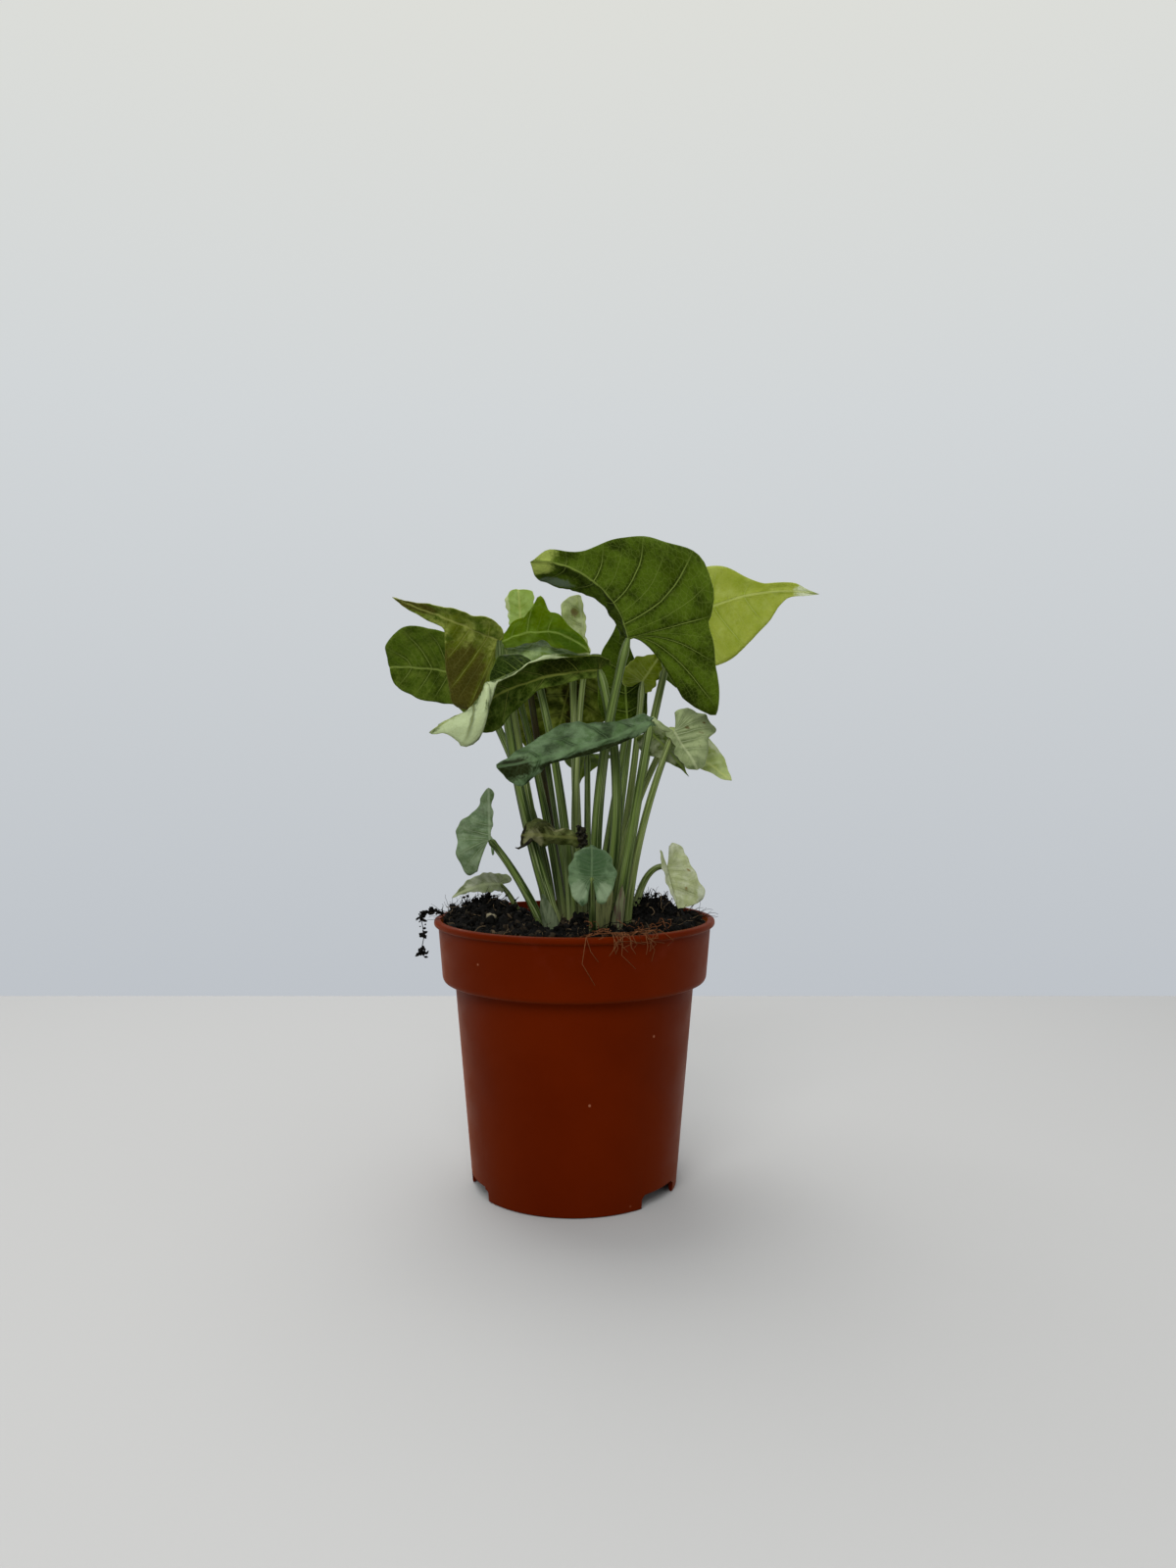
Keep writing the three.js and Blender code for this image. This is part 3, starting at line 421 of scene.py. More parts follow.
soil_rim = collar_radius(SOIL_LEVEL - EDGE_DEPTH) - WALL - GAP
soil_floor = CHANNEL_HEIGHT + FLOOR + GAP
turn = np.linspace(0, 2 * math.pi, SOIL_SIDES, endpoint=False)
soil_points = [np.array([[0, 0, soil_height(0.0, 0.0)]])]
for ring in range(1, SOIL_RINGS + 1):
    radius = soil_rim * ring / SOIL_RINGS
    x, y = radius * np.cos(turn), radius * np.sin(turn)
    rough = (0.55 * waves(x, y, count=14, shortest=3, longest=9, seed=1)
             + 0.35 * waves(x, y, count=16, shortest=1.4, longest=3, seed=2))
    height = soil_height(x, y) + rough * min(1, (soil_rim - radius) / 3 + 0.3)
    soil_points.append(np.stack([x, y, height], -1))
for outside, z in ((COLLAR_FOOT_RADIUS, COLLAR_FOOT + WALL), (WAIST_RADIUS, WAIST_HEIGHT + WALL),
                   (wall_radius(soil_floor), soil_floor)):
    radius = outside - WALL - GAP
    soil_points.append(np.stack([radius * np.cos(turn), radius * np.sin(turn), np.full(SOIL_SIDES, z)], -1))
# These rings run down and not up, so the faces turn the other way.
soil_faces = [(first, *reversed(rest)) for first, *rest in ringed_faces(len(soil_points) - 1, SOIL_SIDES)]
soil_points.append(np.array([[0, 0, soil_floor]]))


def told(made, label, values):
    """Gives each point of a mesh a number that its finish can read."""
    attribute = made.data.attributes.new(label, "FLOAT", "POINT")
    attribute.data.foreach_set("value", np.asarray(values, np.float32))


def reading(tree, label, socket="Fac"):
    return node(tree, "ShaderNodeAttribute", attribute_name=label).outputs[socket]


class Heap:
    """Gathers many small closed bodies into one mesh, with a tone for each."""

    def __init__(self):
        self.points = []
        self.faces = []
        self.tones = []
        self.count = 0

    def add(self, points, faces, tone):
        self.points.append(points)
        self.faces += [tuple(corner + self.count for corner in face) for face in faces]
        self.tones += [tone] * len(points)
        self.count += len(points)

    def build(self, name):
        made = mesh_object(name, np.vstack(self.points), self.faces)
        told(made, "tone", self.tones)
        return made


GOLDEN = (1 + math.sqrt(5)) / 2
TWENTY_SIDED = (
    np.array([(-1, GOLDEN, 0), (1, GOLDEN, 0), (-1, -GOLDEN, 0), (1, -GOLDEN, 0), (0, -1, GOLDEN),
              (0, 1, GOLDEN), (0, -1, -GOLDEN), (0, 1, -GOLDEN), (GOLDEN, 0, -1), (GOLDEN, 0, 1),
              (-GOLDEN, 0, -1), (-GOLDEN, 0, 1)]) / math.hypot(1, GOLDEN),
    [(0, 11, 5), (0, 5, 1), (0, 1, 7), (0, 7, 10), (0, 10, 11), (1, 5, 9), (5, 11, 4), (11, 10, 2),
     (10, 7, 6), (7, 1, 8), (3, 9, 4), (3, 4, 2), (3, 2, 6), (3, 6, 8), (3, 8, 9), (4, 9, 5), (2, 4, 11),
     (6, 2, 10), (8, 6, 7), (9, 8, 1)])


def split(points, faces):
    """Each triangle of a ball split into four, with the new points out on the ball."""
    points = list(points)
    middles = {}

    def middle(a, b):
        key = (min(a, b), max(a, b))
        if key not in middles:
            at = points[a] + points[b]
            points.append(at / np.linalg.norm(at))
            middles[key] = len(points) - 1
        return middles[key]

    finer = []
    for a, b, c in faces:
        ab, bc, ca = middle(a, b), middle(b, c), middle(c, a)
        finer += [(a, ab, ca), (b, bc, ab), (c, ca, bc), (ab, bc, ca)]
    return np.array(points), finer


BALL = split(*TWENTY_SIDED)


def lump(size, centre, rough, squash=(1, 1, 1), ball=BALL):
    """A crumb: a dented ball, stretched and turned at random."""
    points, faces = ball
    dents = 1 + draw.normal(0, rough, len(points)).clip(-0.5, 0.6)
    shape = points * dents[:, None] * np.array(squash) * size
    basis = np.linalg.qr(draw.normal(size=(3, 3)))[0]
    if np.linalg.det(basis) < 0:
        basis[:, 0] *= -1
    return shape @ basis.T + np.array(centre), faces


def carried_along(route, aside):
    """Each point of a route with its heading and two directions across it, carried along untwisted."""
    headings = np.gradient(route, axis=0)
    headings /= np.maximum(np.linalg.norm(headings, axis=1), 1e-9)[:, None]
    side = np.cross(headings[0], aside)
    for at, heading in zip(route, headings):
        side = side - heading * side.dot(heading)
        side /= np.linalg.norm(side)
        yield at, heading, side, np.cross(heading, side)


def tube(route, radii, sides=3):
    """A closed tube along a route of points, with a radius at each."""
    route = np.asarray(route, float)
    turns = np.linspace(0, 2 * math.pi, sides, endpoint=False)[:, None]
    rings = [at + radius * (side * np.cos(turns) + other * np.sin(turns))
             for (at, _, side, other), radius in zip(carried_along(route, (0.3, 0.9, 0.31)), radii)]
    return np.vstack([route[:1], *rings, route[-1:]]), ringed_faces(len(route), sides)


def wander(start, heading, length, steps, bend):
    """A crooked line of points."""
    at = np.array(start, float)
    heading = np.array(heading, float)
    route = [at.copy()]
    for _ in range(steps):
        heading += draw.normal(0, bend, 3)
        heading /= np.linalg.norm(heading)
        at = at + heading * length / steps
        route.append(at.copy())
    return np.array(route)


soil_heap = Heap()
soil_heap.add(np.vstack(soil_points), soil_faces, PEAT_TONE)


def on_soil():
    """A random place on the soil, more of them on the heaps and at the rim."""
    while True:
        angle = draw.uniform(0, 2 * math.pi)
        radius = (soil_rim - CLEAR_OF_WALL) * math.sqrt(draw.uniform(0.02, 1))
        x, y = radius * math.cos(angle), radius * math.sin(angle)
        if draw.uniform() < 0.45 + 0.06 * (soil_height(x, y) - SOIL_LEVEL) + 0.3 * (radius / soil_rim) ** 4:
            return x, y, soil_height(x, y)


def crumb(size, place, tone):
    squash = (1, draw.uniform(0.6, 1), draw.uniform(0.4, 0.8))
    soil_heap.add(*lump(size, place, 0.36, squash, TWENTY_SIDED if size < SMALL_CRUMB else BALL), tone)


def fibre(route, thick, thin, tone):
    """A fibre or a root along a route, from one thickness to another."""
    soil_heap.add(*tube(route, np.linspace(thick, thin, len(route))), tone)


for _ in range(CRUMBS):
    x, y, z = on_soil()
    size = min(draw.uniform(0.3, 0.8) + draw.exponential(0.28), 2.2)
    crumb(size, (x, y, z + 0.45 * size), draw.uniform(0, 0.9))
for _ in range(FIBRES):
    x, y, z = on_soil()
    heading = (*draw.normal(0, 1, 2), draw.uniform(-0.1, 0.5))
    route = wander((x, y, z + 0.6), heading, length=draw.uniform(3, 9), steps=6, bend=0.35)
    thickness = draw.uniform(0.08, 0.2)
    fibre(route, thickness, thickness, draw.uniform(0.3, 1.6))
for _ in range(BARK_BITS):
    x, y, z = on_soil()
    size = draw.uniform(0.8, 2.0)
    soil_heap.add(*lump(size, (x, y, z + 0.6), rough=0.15, squash=(1, 0.55, 0.18)), draw.uniform(0.7, 1.3))

# Dark broken fibres stand up from the two heaps, each with a crumb caught on it.
DARK_TONE = 0.1
TUFTS = [((-35, 4), 7, 60), ((29, 4), 6, 60), ((27, 2), 2, 26)]      # middle, spread and count
for (heap_x, heap_y), spread, count in TUFTS:
    for _ in range(count):
        x, y = heap_x + draw.normal(0, spread), heap_y + draw.normal(0, spread)
        foot = (x, y, soil_height(x, y))
        route = wander(foot, (*draw.normal(0, 0.55, 2), 1.0), length=draw.uniform(2, 8), steps=6, bend=0.3)
        fibre(route, draw.uniform(0.15, 0.4), 0.06, DARK_TONE)
        crumb(draw.uniform(0.35, 0.9), route[draw.integers(1, 6)], DARK_TONE)

# Thin brown roots have crept over the lip at the front. OVER_LIP is how far a root's points are outside and
# above the lip, and their share of its drop. The longest roots have their own angle and drop.
ROOT_TONE = 2.0
SOILED_TONE = 0.4
LIP_ROOTS = 24
OVER_LIP = [(-9, -1, 0), (-5, 0.6, 0), (-1.4, 1.4, 0), (0.6, 0.6, 0), (1, -1, 0.5), (1, -1, 1)]
LONG_ROOTS = [(-84, 15), (-82, 7), (-69, 10), (-62, 8)]
for number in range(LIP_ROOTS):
    angle = math.radians(draw.uniform(-77, -53))
    drop = draw.uniform(0, 5.5)
    if number < len(LONG_ROOTS):
        angle, drop = math.radians(LONG_ROOTS[number][0]), LONG_ROOTS[number][1]
    turns = angle + draw.normal(0, 0.035, len(OVER_LIP))
    route = [((LIP_RADIUS + out) * math.cos(turn), (LIP_RADIUS + out) * math.sin(turn),
              POT_HEIGHT + up - share * drop) for (out, up, share), turn in zip(OVER_LIP, turns)]
    fibre(route, draw.uniform(0.16, 0.28), 0.12, ROOT_TONE)

# More of them lie in a tangle inside the lip, every second one with peat on it.
TANGLED_ROOTS = 40
for number in range(TANGLED_ROOTS):
    angle = math.radians(draw.uniform(-84, -44))
    radius = draw.uniform(38, 50)
    start = (radius * math.cos(angle), radius * math.sin(angle), POT_HEIGHT + draw.uniform(0, 2.4))
    route = wander(start, (*draw.normal(0, 1, 2), 0.1), length=draw.uniform(5, 12), steps=8, bend=0.5)
    route[:, 2] = np.clip(route[:, 2], 101.6, 106)
    thickness = draw.uniform(0.1, 0.2)
    fibre(route, thickness, thickness, SOILED_TONE if number % 2 else ROOT_TONE)

# One root hangs over the lip at the left. Crumbs cling to it, with their own share on each stretch.
HANGING = np.array([(-46, -6, 103), (-52, -7, 105), (-58, -8, 105), (-58, -8, 101), (-57, -8.5, 96),
                    (-58, -8.5, 91), (-57, -8, 87.5)])
CRUMB_SHARES = (0.05, 0.35, 0.3, 0.12, 0.02, 0.16)
HANGING_CRUMBS = 80
fibre(HANGING, 0.2, 0.2, SOILED_TONE)
for _ in range(HANGING_CRUMBS):
    step = draw.choice(len(CRUMB_SHARES), p=CRUMB_SHARES)
    place = HANGING[step] + (HANGING[step + 1] - HANGING[step]) * draw.uniform() + draw.normal(0, 0.7, 3)
    crumb(draw.uniform(0.4, 1.0), place, draw.uniform(0, 0.5))

# Short fine roots lean out over the rim at both sides.
SIDE_ROOTS = 16
for side in (-1, 1):
    for _ in range(SIDE_ROOTS):
        start = (side * draw.uniform(44, 50), draw.uniform(-16, 6), draw.uniform(102, 104))
        heading = (side * draw.uniform(0.3, 1), draw.normal(0, 0.4), draw.uniform(0, 0.5))
        fibre(wander(start, heading, length=8, steps=6, bend=0.25), 0.13, 0.06, draw.uniform(0.2, 0.9))

PERLITE_TONE = 3.0
PERLITE_SIZE = 1.9
PERLITE_PLACE = (-31, -12, 103.2)
soil_heap.add(*lump(PERLITE_SIZE, PERLITE_PLACE, rough=0.2), PERLITE_TONE)
soil = soil_heap.build("soil_filling")

# The tone takes the finish from dark peat to brown fibres and bark, then to roots, then to perlite.
soil_crumb, tree = new_material("peat_soil")
place = node(tree, "ShaderNodeTexCoord").outputs["Object"]
tone = reading(tree, "tone")
grain = ranged(tree, noise(tree, place, 900.0, 5.0, 0.7), 0.35, 0.7)
dark = mixed(tree, grain, colour(3, 3, 2), colour(20, 18, 15))
brown = mixed(tree, ranged(tree, tone, 0.6, 1.5), dark, colour(100, 84, 62))
rooted = mixed(tree, ranged(tree, tone, 1.7, 1.9), brown, colour(110, 68, 40))
stony = mixed(tree, ranged(tree, tone, 2.7, 2.9), rooted, colour(124, 116, 94))
soil_shader = principled(tree, stony, Roughness=0.92, Specular_IOR_Level=0.1)
bumped(tree, noise(tree, place, 1500.0, 6.0, 0.7), 0.5, 0.0006, soil_shader.inputs["Normal"])
finished(tree, soil_shader.outputs["BSDF"])
soil.data.materials.append(soil_crumb)
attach(soil, "root")
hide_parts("soil")


# ---------------------------------------------------------------- leaf blades
# Soft arrow-shaped blades, each one thin sheet with a midrib, side veins that run to the margin and lobes
# that reach back past the joint. A leaf is drawn flat in fractions of its length: x runs from the joint (0)
# to the tip (1), and each half's outline goes from the tip round to the joint.
def heart(width, lobe):
    """Half the outline of a plain leaf of its kind."""
    return [(0.86, 0.12 * width), (0.68, 0.42 * width), (0.45, 0.78 * width), (0.2, 0.98 * width),
            (0, 0.98 * width), (-0.55 * lobe, 0.92 * width), (-0.9 * lobe, 0.72 * width),
            (-lobe, 0.55 * width), (-0.75 * lobe, 0.25 * width)]


USUAL = dict(arch=0, hook=0, sway=0, twist=0, fold=(5, 5), curl=(-12, -12), rim=(0, 0), droop=(15, 15),
             wave=(0.01, 2.5, 0), sweep=1.25, girth=1.0)
# joint and tip place the leaf and face is where its upper surface looks, in millimetres. Angles are in
# degrees: the midrib arches down, hooks at the tip, sways to the left and twists near the tip; each half
# (left, right) folds up from the midrib, curls on its way out, rolls at the rim and droops along its lobe.
# wave is the margin's height as a fraction of the length, its count and its phase. sweep is how far the side
# veins bend on their way out (1 is straight). foot is where the stalk leaves the soil, lean how far its
# middle bends aside, and girth its radius at the joint.
LEAVES = [
    dict(name="top", joint=(20, -19, 207.5), tip=(-16.5, -11, 237), face=(0.3, 0.94, 0.3),
         foot=(9, -11.5), lean=(-5, -3, 0), girth=1.6,
         tint="deep", arch=15, sway=-80, sweep=2, fold=(0, 55), curl=(0, -20), droop=(0, 10),
         wave=(0, 0, 0),
         left=[(0.87, 0.09), (0.67, 0.12), (0.56, 0.26), (0.45, 0.44), (0.3, 0.62), (0.2, 0.73),
               (0.09, 0.72), (0, 0.66), (-0.05, 0.63), (-0.22, 0.62), (-0.4, 0.6), (-0.6, 0.57),
               (-0.67, 0.52), (-0.6, 0.42), (-0.5, 0.31)],
         right=[(1, 0.12), (0.95, 0.22), (0.77, 0.26), (0.62, 0.25), (0.45, 0.21), (0.2, 0.15),
                (0, 0.17), (-0.07, 0.2), (-0.12, 0.18), (-0.1, 0.1)]),
    dict(name="right", joint=(40, 12, 215.5), tip=(99.5, 24, 230), face=(0, 0.95, 0.31),
         foot=(17, 5), lean=(-2.5, -4, 0), girth=1.4,
         tint="lit", arch=10, sway=42, fold=(4, 4), curl=(-10, -10), droop=(0, 0), wave=(0.005, 2, 0),
         left=[(0.9, 0.02), (0.8, 0.04), (0.74, 0.09), (0.66, 0.18), (0.55, 0.26), (0.45, 0.31),
               (0.3, 0.36), (0.15, 0.36), (0, 0.3), (-0.15, 0.2), (-0.2, 0.1)],
         right=[(0.9, 0.02), (0.82, 0.05), (0.72, 0.06), (0.62, 0.06), (0.52, 0.12), (0.38, 0.22),
                (0.25, 0.26), (0.1, 0.27), (-0.1, 0.24), (-0.3, 0.2), (-0.3, 0.1)]),
    dict(name="left", joint=(-28.5, -7, 208), tip=(-67.5, -16, 223), face=(0.14, 0.87, 0.46),
         foot=(-4, -13.5), lean=(-4, -1, 0), girth=1.6,
         tint="deep", arch=8, fold=(-10, 0), curl=(-10, 0), wave=(0, 0, 0),
         left=[(0.85, 0.03), (0.66, 0.07), (0.5, 0.13), (0.34, 0.16), (0.15, 0.17), (0.03, 0.12),
               (-0.02, 0.07), (-0.03, 0.03)],
         right=[(0.85, 0.05), (0.7, 0.07), (0.58, 0.08), (0.49, 0.09), (0.44, 0.22), (0.36, 0.42),
                (0.25, 0.62), (0.14, 0.76), (0, 0.78), (-0.06, 0.6), (-0.08, 0.4), (-0.06, 0.2)]),
    dict(name="far_left", joint=(-41.5, 18, 195.5), tip=(-76, 26, 200.5), face=(0.25, 0.9, 0.35),
         foot=(-8, 1.5), lean=(7, -2, 0), girth=1.4,
         tint="deep", arch=10, sway=-20, fold=(0, 0), curl=(-10, -10), droop=(0, 0), wave=(0, 0, 0),
         left=[(1.03, 0.1), (1, 0.24), (0.9, 0.38), (0.75, 0.46), (0.6, 0.49), (0.4, 0.47),
               (0.2, 0.42), (0, 0.38), (-0.15, 0.3), (-0.12, 0.1)],
         right=[(1, 0.08), (0.96, 0.2), (0.82, 0.3), (0.65, 0.36), (0.45, 0.38), (0.2, 0.38),
                (0, 0.42), (-0.15, 0.45), (-0.25, 0.35), (-0.15, 0.15)]),
    dict(name="middle", joint=(-28, 3, 208), tip=(6, -2, 204), face=(0, -0.8, 0.6),
         foot=(-7.2, -4.5), lean=(-1, 0, 0), girth=1.6,
         tint="lit", arch=20, sway=-80, fold=(10, -8), curl=(0, 0), wave=(0, 0, 0),
         left=[(0.86, 0.07), (0.71, 0.11), (0.61, 0.18), (0.52, 0.25), (0.46, 0.28), (0.4, 0.44),
               (0.37, 0.46), (0.34, 0.34), (0.28, 0.24), (0.2, 0.22), (0.1, 0.14), (0, 0.08),
               (-0.03, 0.04)],
         right=[(0.91, 0.09), (0.74, 0.15), (0.6, 0.14), (0.48, 0.1), (0.3, 0.1), (0.1, 0.11),
                (0, 0.09), (-0.03, 0.05)]),
    dict(name="tucked", joint=(-27, 8, 206.5), tip=(3, 3, 202), face=(0, -0.85, 0.5),
         foot=(-3.2, 1.5), lean=(2, 1, 0), girth=1.2,
         tint="bluish", arch=14, fold=(0, 0), curl=(-10, -10), droop=(0, 0),
         left=[(0.9, 0.07), (0.78, 0.15), (0.62, 0.21), (0.45, 0.25), (0.3, 0.25), (0.15, 0.2),
               (0, 0.14), (-0.05, 0.1), (-0.06, 0.05)],
         right=[(0.88, 0.04), (0.7, 0.1), (0.45, 0.18), (0.25, 0.17), (0.12, 0.14), (0, 0.11),
                (-0.04, 0.08), (-0.05, 0.04)]),
    dict(name="small_upright", joint=(-22.5, 27, 217), tip=(-23, 24, 232), face=(0.2, 0.95, -0.2),
         foot=(-3, 6.8), lean=(0, 1, 0), girth=1.2,
         tint="lit", arch=10,
         left=[(1, 0.15), (0.97, 0.3), (0.88, 0.42), (0.6, 0.4), (0.3, 0.32), (0, 0.28), (-0.2, 0.2),
               (-0.15, 0.08)],
         right=[(1.02, 0.14), (0.93, 0.28), (0.75, 0.36), (0.5, 0.36), (0.25, 0.3), (0, 0.28),
                (-0.2, 0.2), (-0.15, 0.08)]),
    dict(name="pale_upright", joint=(4.5, 12, 204.5), tip=(1.5, 8, 227.5), face=(0.1, 0.9, -0.2),
         foot=(2, 2), lean=(-3, 3, 0), girth=1.2,
         tint="pale", arch=10,
         left=[(0.95, 0.05), (0.8, 0.04), (0.6, 0.06), (0.4, 0.05), (0.2, 0.05), (0, 0.06),
               (-0.1, 0.04)],
         right=[(1, 0.08), (0.97, 0.2), (0.84, 0.31), (0.6, 0.32), (0.4, 0.28), (0.2, 0.22), (0, 0.16),
                (-0.08, 0.1), (-0.07, 0.04)]),
    dict(name="arching", joint=(9.5, -12, 196.5), tip=(-50, -45, 172.5), face=(-0.1, 0.93, 0.35),
         foot=(8.5, -4.5), lean=(7, -7, 0), girth=1.6,
         tint="deep", arch=90, hook=-55, sway=-15, twist=-90, fold=(-6, -6), curl=(-10, -8),
         rim=(-100, 0), droop=(0, 0),
         left=[(1, 0.04), (0.95, 0.07), (0.93, 0.18), (0.93, 0.23), (0.88, 0.25), (0.82, 0.2),
               (0.78, 0.15), (0.7, 0.12), (0.5, 0.11), (0.35, 0.13), (0.2, 0.14), (0, 0.12),
               (-0.05, 0.09), (-0.06, 0.04)],
         right=[(0.95, 0.03), (0.85, 0.07), (0.76, 0.12), (0.7, 0.15), (0.63, 0.16), (0.55, 0.14),
                (0.46, 0.11), (0.38, 0.08), (0.28, 0.06), (0.18, 0.05), (0.08, 0.035), (0, 0.03),
                (-0.02, 0.025), (-0.03, 0.015)]),
    dict(name="front", joint=(27.5, -30, 176), tip=(-26.5, -46, 160), face=(0, -0.75, 0.66),
         foot=(15, -11.5), lean=(0, 1.5, 0), girth=1.5,
         tint="bluish", arch=-22, fold=(-28, 0), curl=(-15, -15), wave=(0.012, 2.5, 0.2),
         left=[(0.98, 0.03), (0.94, 0.09), (0.88, 0.14), (0.82, 0.12), (0.74, 0.06), (0.65, 0.04),
               (0.5, 0.05), (0.3, 0.05), (0.1, 0.04), (0, 0.03), (-0.03, 0.02)],
         right=[(0.97, 0.05), (0.83, 0.12), (0.75, 0.15), (0.61, 0.22), (0.5, 0.25), (0.38, 0.23),
                (0.27, 0.16), (0.15, 0.12), (0, 0.09), (-0.03, 0.06), (-0.04, 0.03)]),
    dict(name="mottled", joint=(36.5, -25, 173), tip=(44.5, -30, 159), face=(0.1, -1, 0.3),
         foot=(19.5, -6), lean=(-3.5, -1, 0), girth=1.2,
         tint="pale", arch=20, fold=(0, 0), curl=(-10, -10), wave=(0.03, 3.5, 0),
         left=[(0.98, 0.2), (0.8, 0.38), (0.64, 0.47), (0.5, 0.58), (0.36, 0.82), (0.15, 0.88),
               (0, 0.85), (-0.24, 0.75), (-0.4, 0.62), (-0.4, 0.27)],
         right=[(0.95, 0.1), (0.84, 0.15), (0.56, 0.25), (0.35, 0.2), (0.16, 0.16), (0, 0.15),
                (-0.15, 0.19), (-0.34, 0.25), (-0.49, 0.28), (-0.64, 0.23), (-0.62, 0.15)]),
    dict(name="right_low", joint=(35, -6, 170), tip=(59, -14, 155), face=(0.2, -0.8, 0.5),
         foot=(15, 0.5), lean=(-5, 4, 0), girth=1.2,
         tint="lit", arch=20, fold=(0, -5), curl=(-10, -10),
         left=[(0.9, 0.1), (0.79, 0.2), (0.63, 0.3), (0.48, 0.35), (0.3, 0.36), (0.1, 0.33),
               (-0.1, 0.25), (-0.12, 0.1)],
         right=[(0.85, 0.06), (0.6, 0.1), (0.3, 0.12), (0, 0.12), (-0.1, 0.06)]),
    dict(name="right_narrow", joint=(28.5, -16, 172.5), tip=(42.5, -19, 156.5), face=(0.2, -0.8, 0.5),
         foot=(14, -5.2), lean=(0, 0, 0), girth=1.1,
         tint="deep", arch=20, sweep=1, fold=(0, 0), curl=(-10, -10),
         left=heart(0.24, 0.15),
         right=[(0.85, 0.03), (0.65, 0.1), (0.45, 0.24), (0.25, 0.34), (0.05, 0.34), (-0.1, 0.25),
                (-0.1, 0.1)]),
    dict(name="low_left", joint=(-31.5, -16, 133), tip=(-31.5, -20, 152.5), face=(0, -1, 0.1),
         foot=(-8.8, -10), lean=(0, 2, 3), girth=1.3,
         tint="bluish", arch=5, fold=(0, 0), curl=(-15, 0), droop=(0, 0), wave=(0.012, 3, 0),
         left=[(0.96, 0.06), (0.85, 0.12), (0.76, 0.17), (0.57, 0.23), (0.45, 0.38), (0.37, 0.51),
               (0.22, 0.61), (0, 0.67), (-0.37, 0.64), (-0.65, 0.51), (-0.75, 0.42), (-0.66, 0.26)],
         right=[(0.97, 0.07), (0.9, 0.1), (0.8, 0.07), (0.57, 0.06), (0.3, 0.06), (0, 0.06),
                (-0.15, 0.07), (-0.3, 0.06), (-0.3, 0.04)]),
    dict(name="creeping_left", joint=(-29.5, 4, 114), tip=(-47, -4, 109.5), face=(0, -0.8, 0.6),
         foot=(-19, 9), lean=(0, 2, 3), girth=0.9,
         tint="pale", arch=70, fold=(-20, 0), curl=(0, 0), droop=(0, 0), wave=(0, 0, 0),
         left=heart(0.15, 0.1),
         right=[(0.9, 0.05), (0.78, 0.11), (0.58, 0.19), (0.3, 0.25), (0, 0.28), (-0.2, 0.29),
                (-0.42, 0.26), (-0.42, 0.15), (-0.25, 0.06)]),
    dict(name="low_front", joint=(6.5, -40, 121.5), tip=(6.5, -26, 132), face=(0, -0.9, 0.45),
         foot=(7, -20), lean=(0, -5, 2), girth=1,
         tint="bluish", arch=60, fold=(10, 10), wave=(0.015, 3, 0),
         left=[(0.86, 0.06), (0.68, 0.19), (0.45, 0.35), (0.2, 0.44), (0, 0.44), (-0.25, 0.41),
               (-0.45, 0.32), (-0.57, 0.2), (-0.5, 0.08)],
         right=[(0.86, 0.06), (0.68, 0.19), (0.45, 0.36), (0.2, 0.45), (0, 0.45), (-0.2, 0.42),
                (-0.38, 0.35), (-0.52, 0.23), (-0.5, 0.1)]),
    dict(name="low_right", joint=(36, 4, 121), tip=(40, 0, 105), face=(0, -1, 0.1),
         foot=(22, 2.5), lean=(-2, 0, 8), girth=1.1,
         tint="pale", arch=5, fold=(0, 65), curl=(0, 0), wave=(0.015, 3.5, 0),
         left=[(1.02, 0.12), (1, 0.35), (0.97, 0.5), (0.9, 0.62), (0.7, 0.68), (0.5, 0.67), (0.3, 0.6),
               (0, 0.52), (-0.2, 0.49), (-0.38, 0.45), (-0.52, 0.3), (-0.45, 0.18)],
         right=[(0.86, 0.06), (0.65, 0.16), (0.4, 0.24), (0.15, 0.26), (0, 0.25), (-0.2, 0.22),
                (-0.36, 0.15), (-0.32, 0.08)]),
    dict(name="inner", joint=(-1, 31, 199.5), tip=(-10, 28, 162.5), face=(0, -0.95, 0.2),
         foot=(3, 7.8), lean=(-0.5, -2.5, 0), girth=1.4,
         tint="lit", arch=8, wave=(0.03, 3.5, 0),
         left=heart(0.6, 0.15),
         right=[(1, 0.12), (0.94, 0.28), (0.85, 0.38), (0.7, 0.46), (0.5, 0.52), (0.3, 0.54),
                (0.12, 0.5), (-0.02, 0.38), (-0.1, 0.24), (-0.09, 0.1)]),
    dict(name="inner_low", joint=(21, 17, 177.5), tip=(18.5, 18, 220), face=(0, -0.97, 0.1),
         foot=(6.8, 1), lean=(0, 0, 0), girth=1.3,
         tint="deep", arch=8, droop=(0, 0),
         left=[(0.97, 0.03), (0.88, 0.08), (0.78, 0.14), (0.68, 0.2), (0.5, 0.25), (0.3, 0.27),
               (0.12, 0.25), (0, 0.2), (-0.05, 0.14), (-0.07, 0.07)],
         right=[(0.9, 0.03), (0.75, 0.06), (0.6, 0.1), (0.45, 0.17), (0.3, 0.21), (0.15, 0.2),
                (0, 0.16), (-0.05, 0.11), (-0.06, 0.05)]),
    dict(name="inner_right", joint=(26.5, 8, 193.5), tip=(35, 6, 205.5), face=(0, 0.95, 0.3),
         foot=(11.5, 6), lean=(2, 1, 0), girth=1.2,
         tint="lit", arch=20,
         left=heart(0.35, 0.2),
         right=heart(0.6, 0.35)),
    dict(name="inner_left", joint=(-14.5, -8, 196), tip=(-30, -18, 187), face=(-0.2, -1, 0.1),
         foot=(-0.8, -6.5), lean=(3, 1, 0), girth=1.4,
         tint="deep", arch=10,
         left=heart(0.1, 0.1),
         right=[(0.96, 0.14), (0.78, 0.4), (0.57, 0.53), (0.42, 0.58), (0.28, 0.56), (0.06, 0.46),
